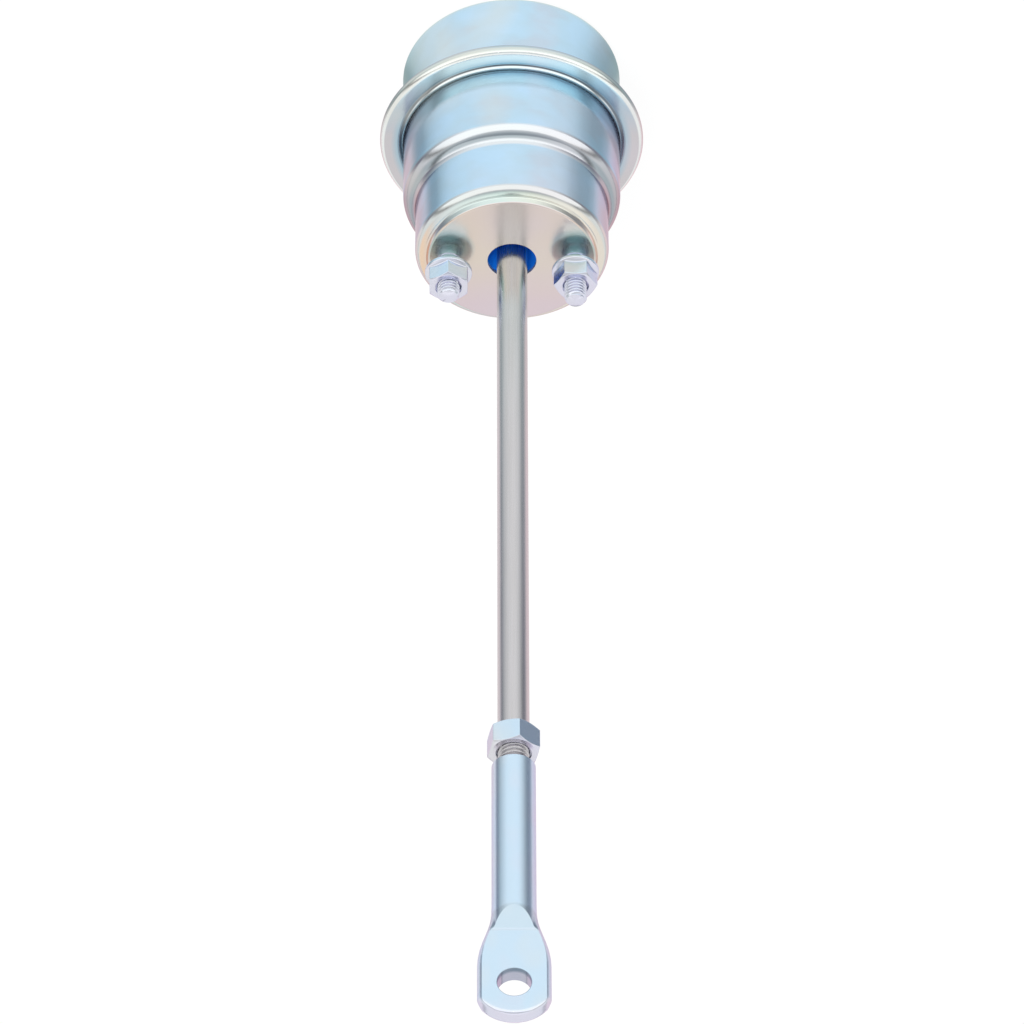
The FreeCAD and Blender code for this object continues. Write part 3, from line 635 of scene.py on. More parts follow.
def plated_can():
    """Bright zinc plate, bluish with drifting tints; the warm end face and the dark spots beside the nuts are
    painted reflections, and bands along the profile hold painted highlights and painted shade.
    """
    material, _, coords = surface("plated_can")
    x, y, z = millimetres(coords)
    reach = distance(x, y)
    colour = ramp(noise(coords, 1.6, 75.0, 2.5), [
        (0.36, (0.55, 0.70, 0.82)), (0.5, (0.54, 0.75, 0.90)), (0.66, (0.55, 0.78, 0.97))])
    # End face warm beige, rosier towards +Y: painted reflection of the warm back of the studio.
    face = ramp(y.scaled(0.022, 0.5), [
        (0.15, (0.82, 0.71, 0.62)), (0.5, (0.82, 0.73, 0.64)), (0.85, (0.80, 0.68, 0.71))])
    # Dark teal spots on the end face beside each stud, offset towards -Y: painted reflection of the flange
    # nuts' undersides.
    nut_reflection_reach = distance(abs(x) - STUD_X, y + 5.0)
    face = mixed(nut_reflection_reach.share(-0.3, 2.2), face, (0.46, 0.60, 0.56))
    outward = y.scaled(0.0142, 0.5)
    # The fold's lip: white and cyan towards -Y, lilac-grey behind: painted highlight on the side facing the
    # camera.
    lip = ramp(outward, [
        (0.02, (0.92, 1.0, 1.0)), (0.14, (0.6, 0.86, 0.96)), (0.3, (0.52, 0.66, 0.76)),
        (0.45, (0.68, 0.66, 0.68)), (1.0, (0.70, 0.67, 0.69))])
    # Darker towards the lip's inner edge: painted shade.
    lip = mixed(reach.share(-0.55, 17.75), lip, (0.44, 0.62, 0.72))
    # The step: light towards -Y, darker behind: painted highlight on the side facing the camera.
    step = ramp(outward, [(0.15, (0.82, 0.87, 0.90)), (0.3, (0.6, 0.62, 0.66)), (0.5, (0.52, 0.50, 0.53))])
    ledge = ramp(x.scaled(0.02, 0.5), [
        (0.1, (0.90, 0.84, 0.74)), (0.4, (0.84, 0.95, 0.78)), (0.55, (0.74, 0.95, 0.86)),
        (0.9, (0.72, 0.76, 0.76)), (0.97, (0.98, 0.72, 0.52))])
    # Bands along the profile as (low, high, near, far, soft, tint), each laid over the colour before it.
    for low, high, near, far, soft, tint in (
            # Darker blue on the can's wall just above the crimp: painted shade.
            (29.3, 34.2, 28.0, 29.5, 1.6, (0.40, 0.58, 0.70)),
            # Near white on the neck fillet: painted highlight.
            (27.0, 28.6, 28.9, 30.1, 0.3, (0.92, 0.98, 1.0)),
            # The lip's tint, with its painted highlight in front and painted shade at its inner edge.
            (25.2, 28.3, 30.1, 40.0, 0.3, lip),
            # Dark line where the lip ends: painted shade in the crevice.
            (27.5, 28.3, 29.95, 30.5, 0.15, (0.42, 0.52, 0.59)),
            # Darkest band in the gap behind the lip: painted shadow.
            (27.0, 27.62, 29.15, 29.95, 0.15, (0.15, 0.20, 0.24)),
            # Lighter blue on the neck fillet and the wall just above it: painted highlight.
            (27.7, 29.3, 28.0, 29.2, 0.8, (0.72, 0.90, 0.96)),
            (25.2, 28.3, 34.1, 40.0, 0.5, (0.70, 0.77, 0.74)),
            # Near white along the top of the fold's outer round: painted highlight.
            (27.4, 28.3, 34.0, 35.0, 0.3, (0.96, 1.0, 0.98)),
            # Darker band under the fold: painted shade.
            (24.6, 26.4, 32.0, 40.0, 0.5, (0.46, 0.60, 0.66)),
            # The step's tint, with its painted highlight towards -Y.
            (48.2, 52.6, 20.0, 30.0, 0.6, step),
            # Dark line in the step's groove: painted shade.
            (50.1, 51.1, 20.0, 30.0, 0.4, (0.42, 0.48, 0.52)),
            (67.2, 69.3, 20.0, 30.0, 0.5, (0.76, 0.80, 0.79)),
            (68.7, 70.5, 21.8, 25.2, 0.3, ledge),
            (70.4, 72.0, 0.0, 22.1, 0.2, face)):
        colour = mixed(zone(z, reach, low, high, near, far, soft), colour, tint)
    drift = noise(coords, 0.6, 30.0, 2.0)
    colour = drifting(drift, colour, 0.52, (0.84, 0.80, 0.70), 0.4, (0.78, 0.70, 0.78))
    # Less metal on the front of the lip's top, so that lamps and sky light its diffuse share: a painted
    # highlight made with the metal share.
    front_lip = zone(z, reach, 27.9, 28.3, 30.8, 34.6, 0.4) * outward.share(-5.0, 1.5)
    on_cover = calc("SUBTRACT", 25.5, z, clamp=True)
    grazing = mixed(on_cover, (0.82, 0.67, 0.70), (0.92, 0.93, 0.84))
    grain = noise(coords, 0.35, 900.0, 4.0)
    on_face = zone(z, reach, 70.4, 72.0, 6.5, 22.1, 0.2)
    punched = zone(z, reach, 69.5, 70.7, 0.0, 6.5, 0.1)
    roughness = punched.scaled(0.45, on_face.scaled(0.07, grain.scaled(0.1, 0.1)))
    return finished(material, colour, roughness, grain, 0.05, front_lip.scaled(-0.3, 1.0), 0.0002, grazing)


def polished_rod():
    """Drawn and polished bare steel with fine lines along its length."""
    material, _, coords = surface("rod_steel")
    lines = noise(coords, 0.02, 1500.0)
    tone = ramp(lines, [(0.3, (0.66, 0.68, 0.68)), (0.7, (0.74, 0.76, 0.77))])
    along = ramp(split(coords)[2] * 4.0, [
        (0.32, (0.96, 1.0, 1.0)), (0.39, (0.84, 0.84, 0.83)), (0.55, (0.91, 0.87, 0.88))])
    return finished(material, mixed(1.0, tone, along, "MULTIPLY"), lines.scaled(0.14, 0.2), lines, 0.02, 1.0)


def inner_steel():
    """Plain drawn sheet steel, never seen in full light."""
    material, _, coords = surface("inner_steel")
    cloud = noise(coords, 1.0, 120.0, 4.0)
    tone = ramp(cloud, [(0.3, (0.36, 0.37, 0.39)), (0.7, (0.55, 0.56, 0.58))])
    return finished(material, tone, cloud.scaled(0.25, 0.25), cloud, 0.1, 1.0)


def spring_wire():
    """Shot-peened dark spring wire."""
    material, tree, coords = surface("spring_steel")
    dimples = wire(tree, "ShaderNodeTexVoronoi", {"Vector": coords, "Scale": 2600.0}, "Distance")
    tone = ramp(dimples, [(0.0, (0.10, 0.10, 0.11)), (1.0, (0.24, 0.24, 0.26))])
    return finished(material, tone, 0.42, dimples, 0.3, 1.0)


def reinforced_rubber():
    """Matt black rubber with its fabric showing through as a fine weave."""
    material, tree, coords = surface("diaphragm_rubber")
    pattern = {"Vector": coords, "Scale": 260.0}
    weft, warp = (wire(tree, "ShaderNodeTexWave", pattern, "Fac", bands_direction=way) for way in "XY")
    weave = weft * warp
    tone = ramp(weave, [(0.0, (0.018, 0.018, 0.02)), (1.0, (0.05, 0.05, 0.052))])
    return finished(material, tone, weave.scaled(-0.15, 0.75), weave, 0.4, 0.0)


def blue_plastic():
    """Saturated blue moulded plastic with a faint satin grain."""
    material, _, coords = surface("seat_plastic")
    grain = noise(coords, 1.0, 1800.0)
    tone = ramp(grain, [(0.3, (0.008, 0.20, 0.90)), (0.7, (0.012, 0.26, 1.0))])
    return finished(material, tone, grain.scaled(0.15, 0.3), grain, 0.15, 0.0)


CAN_PLATE = plated_can()
HARDWARE_PLATE = plated_hardware()
ROD_STEEL = polished_rod()
INNER_STEEL = inner_steel()
SPRING_STEEL = spring_wire()
RUBBER_CLOTH = reinforced_rubber()
SEAT_BLUE = blue_plastic()
THREAD = thread_tree()
COIL = coil_tree()


# Pieces

def cover():
    """Drawn cup with its rim folded over the can's flange, and the hole for the nipple."""
    wall = [
        (0.0, 0.0, 0.0),
        (COVER_RADIUS, 0.0, COVER_CORNER),
        (COVER_RADIUS, COVER_WALL_HEIGHT, 1.0),
        (FLANGE_RADIUS, COVER_WALL_HEIGHT, FOLD_BEND),
        (FLANGE_RADIUS, CRIMP_TOP, FOLD_BEND),
        (FLANGE_RADIUS - CRIMP_LIP, CRIMP_TOP, LIP_ROUND),
    ]
    inside = offset_path(wall, COVER_SHEET)
    inside[-1] = (*inside[-1][:2], EDGE_ROUND)
    points = outline(wall + list(reversed(inside)))
    piece = turned_piece("cover_shell", points, CAN_SEGMENTS, CAN_PLATE, closed=False)
    port = pin(PORT_RADIUS, (0.0, COVER_RADIUS / 2, PORT_Z), (0.0, 1.5 * COVER_RADIUS, PORT_Z), 48, CAN_PLATE)
    return cut_away(piece, [port])


def spring_can():
    """Stepped cup with a raised end face, its centre hole and two stud holes."""
    path = [
        (FLANGE_RADIUS - COVER_SHEET - CAN_FLANGE_GAP, CAN_FLANGE_TOP, 0.0),
        (CAN_LOWER_RADIUS, CAN_FLANGE_TOP, 1.4),
        (CAN_LOWER_RADIUS, CAN_STEP_Z, 3.5),
        (CAN_UPPER_RADIUS, CAN_STEP_Z + CAN_STEP_HEIGHT, 3.0),
        (CAN_UPPER_RADIUS, CAN_LEDGE_Z, 2.5),
        (CAN_FACE_RADIUS + 0.6, CAN_LEDGE_Z, 0.5),
        (CAN_FACE_RADIUS, CAN_FACE_Z, 0.6),
        (CAN_HOLE_RADIUS, CAN_FACE_Z, 0.0),
    ]
    piece = turned_piece("spring_can_shell", sheet_section(path, CAN_SHEET), CAN_SEGMENTS, CAN_PLATE)
    return cut_away(piece, [
        pin(STUD_ROOT_RADIUS + 0.05, (x, 0.0, CAN_FACE_Z - 3.0), (x, 0.0, CAN_FACE_Z + 1.0), 64, CAN_PLATE)
        for x in STUD_PLACE.values()])


def hose_nipple():
    """Beaded tube with a collar, brazed into the cover's side."""
    bore, tube, flange, bead = 2.6, 4.0, 5.2, 4.7
    inner_end, collar, tip = COVER_RADIUS - 1.3, COVER_RADIUS + 0.3, COVER_RADIUS + 24.0
    section = [
        (bore, inner_end, 0.1),
        (tube, inner_end, 0.1),
        (tube, collar, 0.05),
        (flange, collar, 0.15),
        (flange, collar + 1.2, 0.35),
        (tube, collar + 1.2, 0.25),
        (tube, tip - 4.4, 0.3),
        (bead, tip - 3.7, 0.7),
        (bead, tip - 2.7, 0.7),
        (tube, tip - 2.0, 0.3),
        (tube, tip - 0.5, 0.2),
        (tube - 0.5, tip, 0.2),
        (bore, tip, 0.2),
    ]
    bm = bmesh.new()
    add_turned(bm, closed_outline(section), SMALL_SEGMENTS, closed=True)
    lay_along_y = Matrix.Translation((0.0, 0.0, PORT_Z)) @ Matrix.Rotation(math.radians(-90), 4, "X")
    bmesh.ops.transform(bm, matrix=lay_along_y, verts=bm.verts)
    return new_piece("hose_connection", bm, HARDWARE_PLATE)


def diaphragm():
    """Rolling diaphragm: clamped in the crimp, up the bore, over its roll and down the piston."""
    roll = (BORE_SIDE - PISTON_SIDE) / 2
    path = [
        (3.05, PISTON_Z, 0.0),
        (PISTON_SIDE, PISTON_Z, 2.3),
        (PISTON_SIDE, ROLL_Z, roll),
        (BORE_SIDE, ROLL_Z, roll),
        (BORE_SIDE, CLAMP_TOP, 2.5),
        (FLANGE_RADIUS - COVER_SHEET - RUBBER_EDGE_GAP, CLAMP_TOP, 0.0),
    ]
    return turned_piece("rolling_diaphragm", sheet_section(path, -RUBBER), 160, RUBBER_CLOTH)


def spring_seat():
    """Moulded seat whose collar is seen through the can's hole."""
    section = [
        (6.8, 55.6, 0.3),
        (9.2, 55.6, 0.4),
        (9.2, 59.6, 0.3),
        (15.2, 59.6, 0.8),
        (15.2, 61.8, 0.2),
        (23.2, 61.8, 0.8),
        (23.2, 67.3, 0.8),
        (21.4, 67.3, 0.2),
        (21.4, 65.5, 0.2),
        (10.6, 65.5, 0.2),
        (10.6, 67.3, 0.2),
        (8.2, 67.3, 0.2),
        (8.2, 69.3, 0.4),
        (6.8, 69.3, 0.4),
    ]
    return turned_piece("seat_moulding", closed_outline(section), 128, SEAT_BLUE)


def main_spring():
    """Coil spring between the piston and the seat."""
    bm = grown(COIL, "coil_spring", {
        "Turns": COIL_TURNS, "Points": COIL_POINTS, "Coil Radius": COIL_RADIUS, "Wire Radius": WIRE_RADIUS,
        "Low": COIL_LOW, "High": COIL_HIGH, "End Pitch": COIL_END_PITCH, "Material": SPRING_STEEL})
    return new_piece("return_spring", bm, SPRING_STEEL)


def threaded_bar(name, below, shank_radius, start, tip, pitch, crest, material, x=0.0):
    """A turned bar from the outline below its thread to a chamfered, flat tip."""
    depth = THREAD_SHARE * pitch
    rows_per_turn = 12
    turns = math.ceil((tip - start) / pitch) + 1
    bm = grown(THREAD, name, {
        "Segments": BAR_SEGMENTS, "Rows": turns * rows_per_turn + 1, "Turns": float(turns),
        "Shank Radius": shank_radius, "Crest Radius": crest, "Depth": depth, "Pitch": pitch,
        "Start": start, "End": tip, "Material": material})
    add_turned(bm, outline(below + [(shank_radius, start, 0.0)]), BAR_SEGMENTS)
    add_turned(bm, [(crest - depth, tip), (0.0, tip)], BAR_SEGMENTS)
    bmesh.ops.translate(bm, vec=(x, 0.0, 0.0), verts=bm.verts)
    return new_piece(name, bm, material, math.radians(50))


def actuator_rod():
    """Rod with its riveted head, shoulder and rolled thread."""
    below = [
        (0.0, 1.1, 0.0),
        (4.5, 1.1, 0.2),
        (5.0, 1.6, 0.2),
        (5.0, 3.0, 0.1),
        (3.0, 3.0, 0.1),
        (3.0, 7.8, 0.1),
        (ROD_RADIUS, 7.8, 0.2),
    ]
    return threaded_bar("push_rod", below, ROD_RADIUS, ROD_THREAD_START, ROD_TIP, ROD_PITCH, ROD_CREST,
                        ROD_STEEL)


def stud(node):
    """Clinched stud with its head inside, a plain shank above the face and a thread."""
    below = [
        (0.0, 65.9, 0.0),
        (4.0, 65.9, 0.2),
        (4.0, 67.3, 0.1),
        (STUD_ROOT_RADIUS, 67.3, 0.1),
        (STUD_ROOT_RADIUS, CAN_FACE_Z, 0.08),
        (STUD_RADIUS, CAN_FACE_Z, 0.05),
    ]
    return threaded_bar(node + "_screw", below, STUD_RADIUS, STUD_THREAD_START, CAN_FACE_Z + STUD_PROUD[node],
                        STUD_PITCH, STUD_CREST, HARDWARE_PLATE, STUD_PLACE[node])


def hexagon_columns(flats, corner_round, turn):
    """Points round a hexagon with rounded corners, the first corner at the given angle."""
    centre_reach = (flats / 2 - corner_round) / math.cos(math.radians(30))
    corner_steps, flat_steps = 4, 14
    arcs = []
    for k in range(6):
        middle = math.radians(60 * k + turn)
        centre = Vector((centre_reach * math.cos(middle), centre_reach * math.sin(middle)))
        angles = [middle + math.radians(60) * (i / corner_steps - 0.5) for i in range(corner_steps + 1)]
        arcs.append([centre + corner_round * Vector((math.cos(a), math.sin(a))) for a in angles])
    columns = []
    for k in range(6):
        columns.extend(arcs[k])
        start, end = arcs[k][-1], arcs[(k + 1) % 6][0]
        columns.extend(start.lerp(end, i / flat_steps) for i in range(1, flat_steps))
    return columns


def chamfer_rows(reach, face_radius):
    """Rows of (radius, height below the face) from a nut's side over its coned edge to its face."""
    tilt = math.radians(30)
    drop = (reach - face_radius) * math.tan(tilt)
    edge = min(NUT_EDGE, 0.4 * (reach - face_radius) / math.cos(tilt))
    lip = min(0.06, 0.3 * (reach - face_radius))
    halfway_in, halfway_down = 0.232, 0.134
    return [
        (reach, drop + edge + 0.12),
        (reach, drop + edge),
        (reach - halfway_in * edge, drop + halfway_down * edge),
        (reach - edge * math.cos(tilt), drop - edge * math.sin(tilt)),
        (face_radius + lip, lip * math.tan(tilt)),
        (face_radius - lip, 0.0),
        (face_radius - lip - 0.1, 0.0),
    ]


def mouth_rows(bore):
    """Rows of (radius, depth) over the countersunk mouth of a bore."""
    return [(bore + 0.62, 0.0), (bore + 0.52, 0.0), (bore + 0.47, 0.04), (bore + 0.03, 0.48), (bore, 0.55),
            (bore, 0.7)]


def nut(columns, base, height, bore, foot_rows, face_radius):
    """A hexagon nut: foot_rows gives the rows below the hexagon for a column's reach."""
    top = base + height
    bm = bmesh.new()
    grid = []
    for column in columns:
        reach = column.length
        outward = column.normalized()
        rows = [(r, base + depth) for r, depth in reversed(mouth_rows(bore))]
        rows += foot_rows(reach)
        rows += [(r, top - below) for r, below in chamfer_rows(reach, face_radius)]
        rows += [(r, top - depth) for r, depth in mouth_rows(bore)]
        grid.append([bm.verts.new((outward.x * r, outward.y * r, z)) for r, z in rows])
    rings = list(zip(*grid))
    for ring, following in zip(rings, rings[1:] + rings[:1]):
        add_strip(bm, ring, following)
    return bm


def flange_nut(node):
    """Flange nut, run loosely onto its stud."""
    base = CAN_FACE_Z + FLANGE_NUT_LIFT[node]
    cone_low, cone_rise, edge, foot_radius, cone_end = 1.1, 0.5, 0.35, 5.2, 5.85
    slope = cone_rise / (FLANGE_NUT_RADIUS - FLANGE_NUT_FLATS / 2)

    def foot_rows(reach):
        cone_at = lambda r: base + cone_low + (FLANGE_NUT_RADIUS - r) * slope
        flange = outline([
            (foot_radius, base, 0.0),
            (FLANGE_NUT_RADIUS, base, edge),
            (FLANGE_NUT_RADIUS, base + cone_low, edge),
            (cone_end, cone_at(cone_end), 0.0),
        ])
        fillet = min(0.15, 0.5 * (cone_end - min(reach, 5.8)))
        rise = cone_at(reach)
        return flange + [
            (reach + fillet, cone_at(reach + fillet)),
            (reach + 0.3 * fillet, rise + 0.3 * fillet),
            (reach, rise + fillet + 0.02),
            (reach, rise + fillet + 0.1),
        ]

    columns = hexagon_columns(FLANGE_NUT_FLATS, NUT_CORNER_ROUND, FLANGE_NUT_TURN[node])
    bm = nut(columns, base, FLANGE_NUT_HEIGHT, FLANGE_NUT_BORE, foot_rows,
             NUT_FACE_SHARE * FLANGE_NUT_FLATS / 2)
    x = STUD_PLACE[node.removesuffix("_nut")]
    bmesh.ops.translate(bm, vec=(x, 0.0, 0.0), verts=bm.verts)
    return new_piece(node + "_hexagon", bm, HARDWARE_PLATE)


def jam_nut():
    """Hexagon nut chamfered on both sides."""
    face_radius = NUT_FACE_SHARE * JAM_NUT_FLATS / 2

    def foot_rows(reach):
        return [(r, JAM_NUT_Z + below) for r, below in reversed(chamfer_rows(reach, face_radius))]

    columns = hexagon_columns(JAM_NUT_FLATS, NUT_CORNER_ROUND, JAM_NUT_TURN)
    bm = nut(columns, JAM_NUT_Z, JAM_NUT_HEIGHT, JAM_NUT_BORE, foot_rows, face_radius)
    return new_piece("jam_nut_hexagon", bm, HARDWARE_PLATE)


def eye_half_widths():
    """Height and half-width pairs along the side of the eye, from the sleeve to its parallel part."""
    return outline([
        (SLEEVE_RADIUS, EYE_NECK_Z - SLEEVE_RADIUS, 0.0),
        (SLEEVE_RADIUS, EYE_NECK_Z, EYE_NECK_BLEND),
        (EYE_HALF_WIDTH, EYE_SHOULDER_Z, EYE_SHOULDER_BLEND),
        (EYE_HALF_WIDTH, EYE_TIP - 6.0, 0.0),
    ])


def half_width_at(z, side):
    """Half-width of the eye at a height, read along its side path."""
    for (w0, z0), (w1, z1) in zip(side, side[1:]):
        if z0 <= z <= z1:
            return w0 + (w1 - w0) * (z - z0) / (z1 - z0)
    return side[0][0] if z < side[0][1] else side[-1][0]


def soft_max(a, b, width):
    """The larger of two values, with the change-over rounded."""
    share = max(width - abs(a - b), 0.0) / width
    return max(a, b) + share * share * width / 4


def fill_in(points, step):
    """The same path with no straight longer than a step."""
    filled = [points[0]]
    for start, end in zip(points, points[1:]):
        parts = math.ceil(math.dist(start, end) / step)
        filled += [[a + (b - a) * i / parts for a, b in zip(start, end)] for i in range(1, parts + 1)]
    return filled


def end_height(x):
    """Height of the eye's round end at a distance from its middle."""
    return EYE_TIP - EYE_END_RADIUS + math.sqrt(EYE_END_RADIUS ** 2 - x ** 2)


def rod_end():
    """Sleeve pressed flat into an eye: rows up the axis, columns across the flats and round the sides."""
    side = eye_half_widths()
    flat_steps, side_steps = 10, 24
    ramp_slope = (SLEEVE_RADIUS - EYE_HALF_THICKNESS) / RAMP_LENGTH
    spread_from, spread_over, shoulder_slope = 284.0, 8.0, 3.0

    def section(z, flat_y):
        """Loop of (x, y) at a height where the flats stand at flat_y."""
        plate_w = half_width_at(z, side)
        quarter = []
        for i in range(side_steps // 2 + 1):
            phi = math.radians(90) * (1 - 2 * i / side_steps)
            y = flat_y * math.sin(phi)
            share = min(abs(y) / EYE_HALF_THICKNESS, 1.0)
            plate_x = plate_w - EYE_BULGE * share ** 2
            round_x = math.sqrt(max(SLEEVE_RADIUS ** 2 - y ** 2, 0.0))
            if abs(y) > EYE_HALF_THICKNESS + 1e-6:
                plate_x -= (abs(y) - EYE_HALF_THICKNESS) * shoulder_slope
            blend = min(max((z - spread_from) / spread_over, 0.0), 1.0)
            x = round_x if blend == 0 else soft_max(round_x, plate_x - (1 - blend) * 0.6, 0.5)
            quarter.append((x, y))
        corner_x = quarter[0][0]
        flat = [(corner_x * i / flat_steps, flat_y) for i in range(flat_steps)]
        right = flat + quarter + [(x, -y) for x, y in reversed(quarter[:-1])]
        right += [(x, -flat_y) for x, _ in reversed(flat)]
        left = [(-x, y) for x, y in reversed(right[1:-1])]
        return right + left

    ramp_end = RAMP_START + RAMP_LENGTH
    straight_from = 306.0
    path = [(SLEEVE_RADIUS, SLEEVE_MOUTH + 0.5, 0.0), (SLEEVE_RADIUS, RAMP_START, 0.0)]
    last_turn = math.acos(EYE_HALF_THICKNESS / SLEEVE_RADIUS)
    for i in range(1, 12):
        flat_y = SLEEVE_RADIUS * math.cos(0.5 * last_turn * i / 12)
        path.append((flat_y, RAMP_START + (SLEEVE_RADIUS - flat_y) / ramp_slope, 0.0))
    path += [(EYE_HALF_THICKNESS, ramp_end, RAMP_FOOT_RADIUS), (EYE_HALF_THICKNESS, straight_from, 0.0)]
    levels = fill_in(outline(path), 0.7)

    bm = bmesh.new()
    base_loop = section(SLEEVE_MOUTH, SLEEVE_RADIUS)
    rings = [[bm.verts.new((0.0, 0.0, SLEEVE_MOUTH))] * len(base_loop)]

    def add_ring(points):
        rings.append([bm.verts.new(point) for point in points])

    for radius, rise in ((4.3, 0.0), (4.9, 0.0), (5.0, 0.0), (5.12, 0.08), (5.42, 0.38)):
        scale = radius / SLEEVE_RADIUS
        add_ring((x * scale, y * scale, SLEEVE_MOUTH + rise) for x, y in base_loop)
    for flat_y, z in levels:
        add_ring((x, y, z) for x, y in section(z, flat_y))
    end_loop = section(straight_from, EYE_HALF_THICKNESS)
    end_rows, round_rows, across = 10, 7, 4
    for i in range(1, end_rows + 1):
        add_ring((x, y, straight_from + (end_height(x) - EYE_RIM_ROUND - straight_from) * i / end_rows)
                 for x, y in end_loop)
    for i in range(1, round_rows + 1):
        angle = math.radians(90) * i / round_rows
        share = 1 - EYE_RIM_ROUND * (1 - math.cos(angle)) / EYE_HALF_THICKNESS
        drop = EYE_RIM_ROUND * (1 - math.sin(angle))
        add_ring((x, y * share, end_height(x) - drop) for x, y in end_loop)
    for j in range(1, across):
        add_ring((x, y * share * (1 - j / across), end_height(x)) for x, y in end_loop)
    middle = {}
    for x, _ in end_loop:
        if round(x, 5) not in middle:
            middle[round(x, 5)] = bm.verts.new((x, 0.0, end_height(x)))
    rings.append([middle[round(x, 5)] for x, _ in end_loop])
    for ring, following in zip(rings, rings[1:]):
        add_strip(bm, ring, following)
    piece = new_piece("eye_end", bm, HARDWARE_PLATE)
    bm = bmesh.new()
    add_turned(bm, [
        (0.0, SLEEVE_MOUTH - 1.0), (SLEEVE_BORE + 1.5, SLEEVE_MOUTH - 1.0), (SLEEVE_BORE, SLEEVE_MOUTH + 0.5),
        (SLEEVE_BORE, SLEEVE_MOUTH + SLEEVE_DEPTH), (0.0, SLEEVE_MOUTH + SLEEVE_DEPTH + 2.0)], 64)
    bore = new_piece("bore", bm, HARDWARE_PLATE)
    hole = pin(EYE_HOLE_RADIUS, (0.0, -5.0, EYE_CENTRE), (0.0, 5.0, EYE_CENTRE), 96, HARDWARE_PLATE)
    cut_away(piece, [bore, hole])
    bevel = piece.modifiers.new("edges", "BEVEL")
    bevel.width = 0.16 * MM
    bevel.segments = 2
    bevel.limit_method = "ANGLE"
    bevel.angle_limit = math.radians(50)
    bevel.harden_normals = True
    return baked(piece)


# Dressing the frame: piece, body it rides on, slot, CAD nodes that it stands for
def dress(piece, body, slot, *nodes):
    """Attaches one piece to the body it rides on and hides the CAD nodes that it stands for."""
    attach(piece, body)
    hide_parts(*nodes)


dress(cover(), "housing", "plated_can", "cover")
dress(spring_can(), "housing", "plated_can", "spring_can")
dress(hose_nipple(), "housing", "plated_hardware", "hose_nipple")
dress(spring_seat(), "housing", "seat_plastic", "spring_seat")
dress(actuator_rod(), "rod", "rod_steel", "actuator_rod")
dress(jam_nut(), "jam_nut", "plated_hardware", "jam_nut")
dress(rod_end(), "rod_end", "plated_hardware", "rod_end")
for stud_node in STUD_PLACE:
    dress(stud(stud_node), "housing", "plated_hardware", stud_node)
for nut_node in FLANGE_NUT_LIFT:
    dress(flange_nut(nut_node), nut_node, "plated_hardware", nut_node)

coil = main_spring()
dress(coil, "housing", "spring_steel", "main_spring")
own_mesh(coil)

rubber = diaphragm()
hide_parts("diaphragm")
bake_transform(rubber)

for node_name in ("retainer_plate", "piston_cup", "piston_washer", "stud_plate"):
    inner = NODES[node_name]
    inner.data.materials.clear()
    inner.data.materials.append(INNER_STEEL)


# Studio

def floor():
    """Wide pale floor, white to the camera but for a faint shadow.

    Its mirror image in the metal is bright to the front, slate to both sides and lilac behind."""
    mesh = bpy.data.meshes.new("floor")
    reach = 6.0
    mesh.from_pydata([(-reach, -reach, 0.0), (reach, -reach, 0.0), (reach, reach, 0.0), (-reach, reach, 0.0)],
                     [], [(0, 1, 2, 3)])
    material = bpy.data.materials.new("floor_paint")
    material.use_nodes = True
    tree = material.node_tree
    tree.nodes.clear()
    rays = tree.nodes.new("ShaderNodeLightPath").outputs
    paint = wire(tree, "ShaderNodeBsdfDiffuse", {"Color": (0.9, 0.9, 0.9)})
    coords = wire(tree, "ShaderNodeTexCoord", output="Object")
    x, y, _ = split(coords)
    share = calc("ARCTAN2", x, y * -1.0).scaled(1 / math.tau, 0.5)
    lilac, rose, slate = (0.94, 0.86, 0.88), (0.94, 0.79, 0.82), (0.42, 0.49, 0.52)
    around = ramp(share, [
        (0.0, lilac), (0.12, rose), (0.185, rose), (0.205, (0.88, 0.80, 0.82)), (0.225, (0.58, 0.61, 0.63)),
        (0.25, slate), (0.286, slate), (0.317, (0.56, 0.60, 0.62)), (0.342, (0.76, 0.79, 0.80)),
        (0.367, (0.87, 0.89, 0.90)), (0.417, (0.96, 0.97, 0.98)), (0.5, 1.0), (0.583, (0.96, 0.97, 0.98)),
        (0.65, (0.90, 0.92, 0.93)), (0.694, (0.78, 0.82, 0.84)), (0.722, (0.62, 0.68, 0.70)), (0.745, slate),
        (0.77, slate), (0.788, (0.6, 0.62, 0.64)), (0.808, (0.90, 0.86, 0.88)), (0.83, lilac), (1.0, lilac)])
    deeper = ramp(share, [
        (0.19, 1.0), (0.24, (0.72, 0.64, 0.70)), (0.28, (0.62, 0.54, 0.60)), (0.314, (0.60, 0.58, 0.60)),
        (0.35, (0.70, 0.68, 0.70)), (0.39, 0.88), (0.43, 1.0), (0.6, 1.0), (0.661, (0.83, 0.82, 0.83)),
        (0.7, (0.72, 0.72, 0.73)), (0.725, (0.68, 0.66, 0.68)), (0.77, (0.66, 0.56, 0.64)),
        (0.79, (0.85, 0.8, 0.84)), (0.805, 1.0)])
    away = wire(tree, "ShaderNodeVectorMath", {0: coords}, "Value", operation="LENGTH")
    deeper = mixed(away.share(8.0, -0.9), WHITE, deeper)
    around = mixed(1.0, around, deeper, "MULTIPLY")
    shine = wire(tree, "ShaderNodeEmission", {"Color": around})
    seen = wire(tree, "ShaderNodeEmission", {"Color": WHITE})
    mirrored = wire(tree, "ShaderNodeMixShader", {0: Wire(rays["Is Glossy Ray"]), 1: paint, 2: shine})
    shown = wire(tree, "ShaderNodeMixShader", {0: Wire(rays["Is Camera Ray"]) * 0.92, 1: mirrored, 2: seen})
    add_node(tree, "ShaderNodeOutputMaterial", {"Surface": shown})
    mesh.materials.append(material)
    placed("floor", mesh)


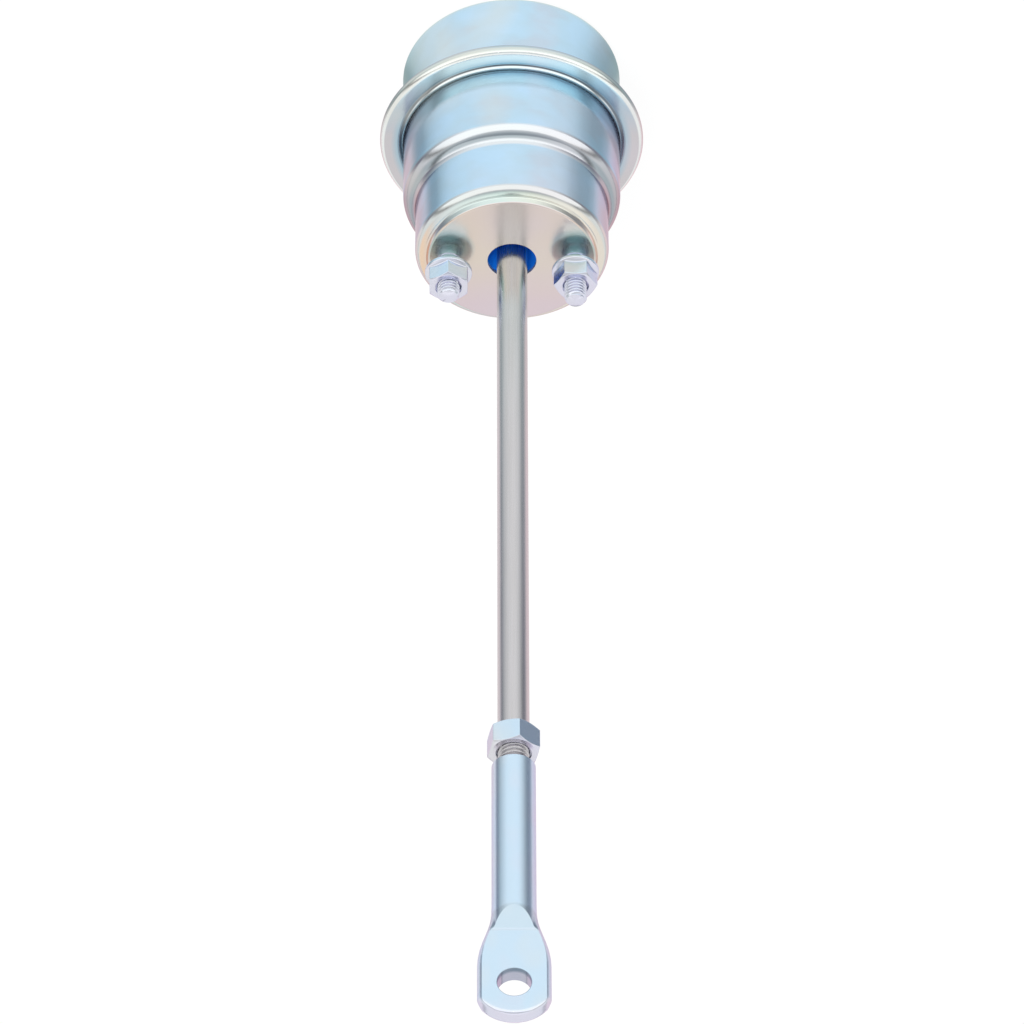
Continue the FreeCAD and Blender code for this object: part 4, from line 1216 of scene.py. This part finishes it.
def sky():
    """White studio: bright low walls, a darker zone where the camera stands, a softer ceiling."""
    world = bpy.data.worlds.new("studio")
    bpy.context.scene.world = world
    world.use_nodes = True
    tree = world.node_tree
    tree.nodes.clear()
    camera_ray = wire(tree, "ShaderNodeLightPath", output="Is Camera Ray")
    _, y, z = split(wire(tree, "ShaderNodeTexCoord", output="Generated"))
    height = z.scaled(0.5, 0.5)
    front = ramp(height, [
        (0.0, 0.6), (0.42, 1.0), (0.5, 1.0), (0.872, (1.0, 0.99, 0.97)), (0.913, (0.48, 0.50, 0.52)),
        (0.985, (0.46, 0.48, 0.50)), (1.0, (0.54, 0.56, 0.58))])
    back = ramp(height, [(0.5, (0.33, 0.34, 0.36)), (0.54, 0.76), (0.86, 0.73), (0.95, 0.86), (1.0, 0.78)])
    walls = mixed(y.share(2.0, 0.5), front, back)
    side_flag = abs(y + 0.05).share(4.0, 0.22)
    flagged = calc("MAXIMUM", side_flag, z.share(4.0, -2.4))
    colour = mixed(1.0, walls, mixed(flagged, BLACK, WHITE), "MULTIPLY")
    shown = mixed(camera_ray, colour, WHITE)
    level = camera_ray.scaled(-0.15, 1.15)
    backdrop = wire(tree, "ShaderNodeBackground", {"Color": shown, "Strength": level})
    add_node(tree, "ShaderNodeOutputWorld", {"Surface": backdrop})


def lamp(name, place, target, size, power):
    """A square soft box that looks at a target."""
    data = bpy.data.lights.new(name, "AREA")
    data.size = size
    data.energy = power
    box = placed(name, data)
    box.location = place
    box.rotation_euler = (Vector(target) - Vector(place)).to_track_quat("-Z", "Y").to_euler()
    box.visible_glossy = False


def camera():
    """Camera at the photograph's viewing angle: 41.5 degrees above the floor, rolled half a turn."""
    elevation = math.radians(41.5)
    distance, roll, side_step = 1.888, 0.0032, 0.0002
    target = Vector((side_step, 0.0, 0.15895))
    forward = Vector((0.0, math.cos(elevation), -math.sin(elevation)))
    level_right = Vector((-1.0, 0.0, 0.0))
    level_up = level_right.cross(forward)
    right = (level_right - level_up * roll).normalized()
    up = right.cross(forward)
    data = bpy.data.cameras.new("camera")
    data.sensor_width = 36.0
    data.lens = 260.2
    view = placed("camera", data)
    turn = Matrix((right, up, -forward)).transposed().to_4x4()
    view.matrix_world = Matrix.Translation(target - forward * distance) @ turn
    bpy.context.scene.camera = view


floor()
sky()
lamp("key", (0.3, -1.2, 1.5), (0.0, 0.0, 0.07), 0.8, 34.0)
lamp("fill", (-1.2, 0.4, 1.3), (0.0, 0.0, 0.15), 1.2, 6.0)
camera()
bpy.context.scene.view_settings.view_transform = "Standard"
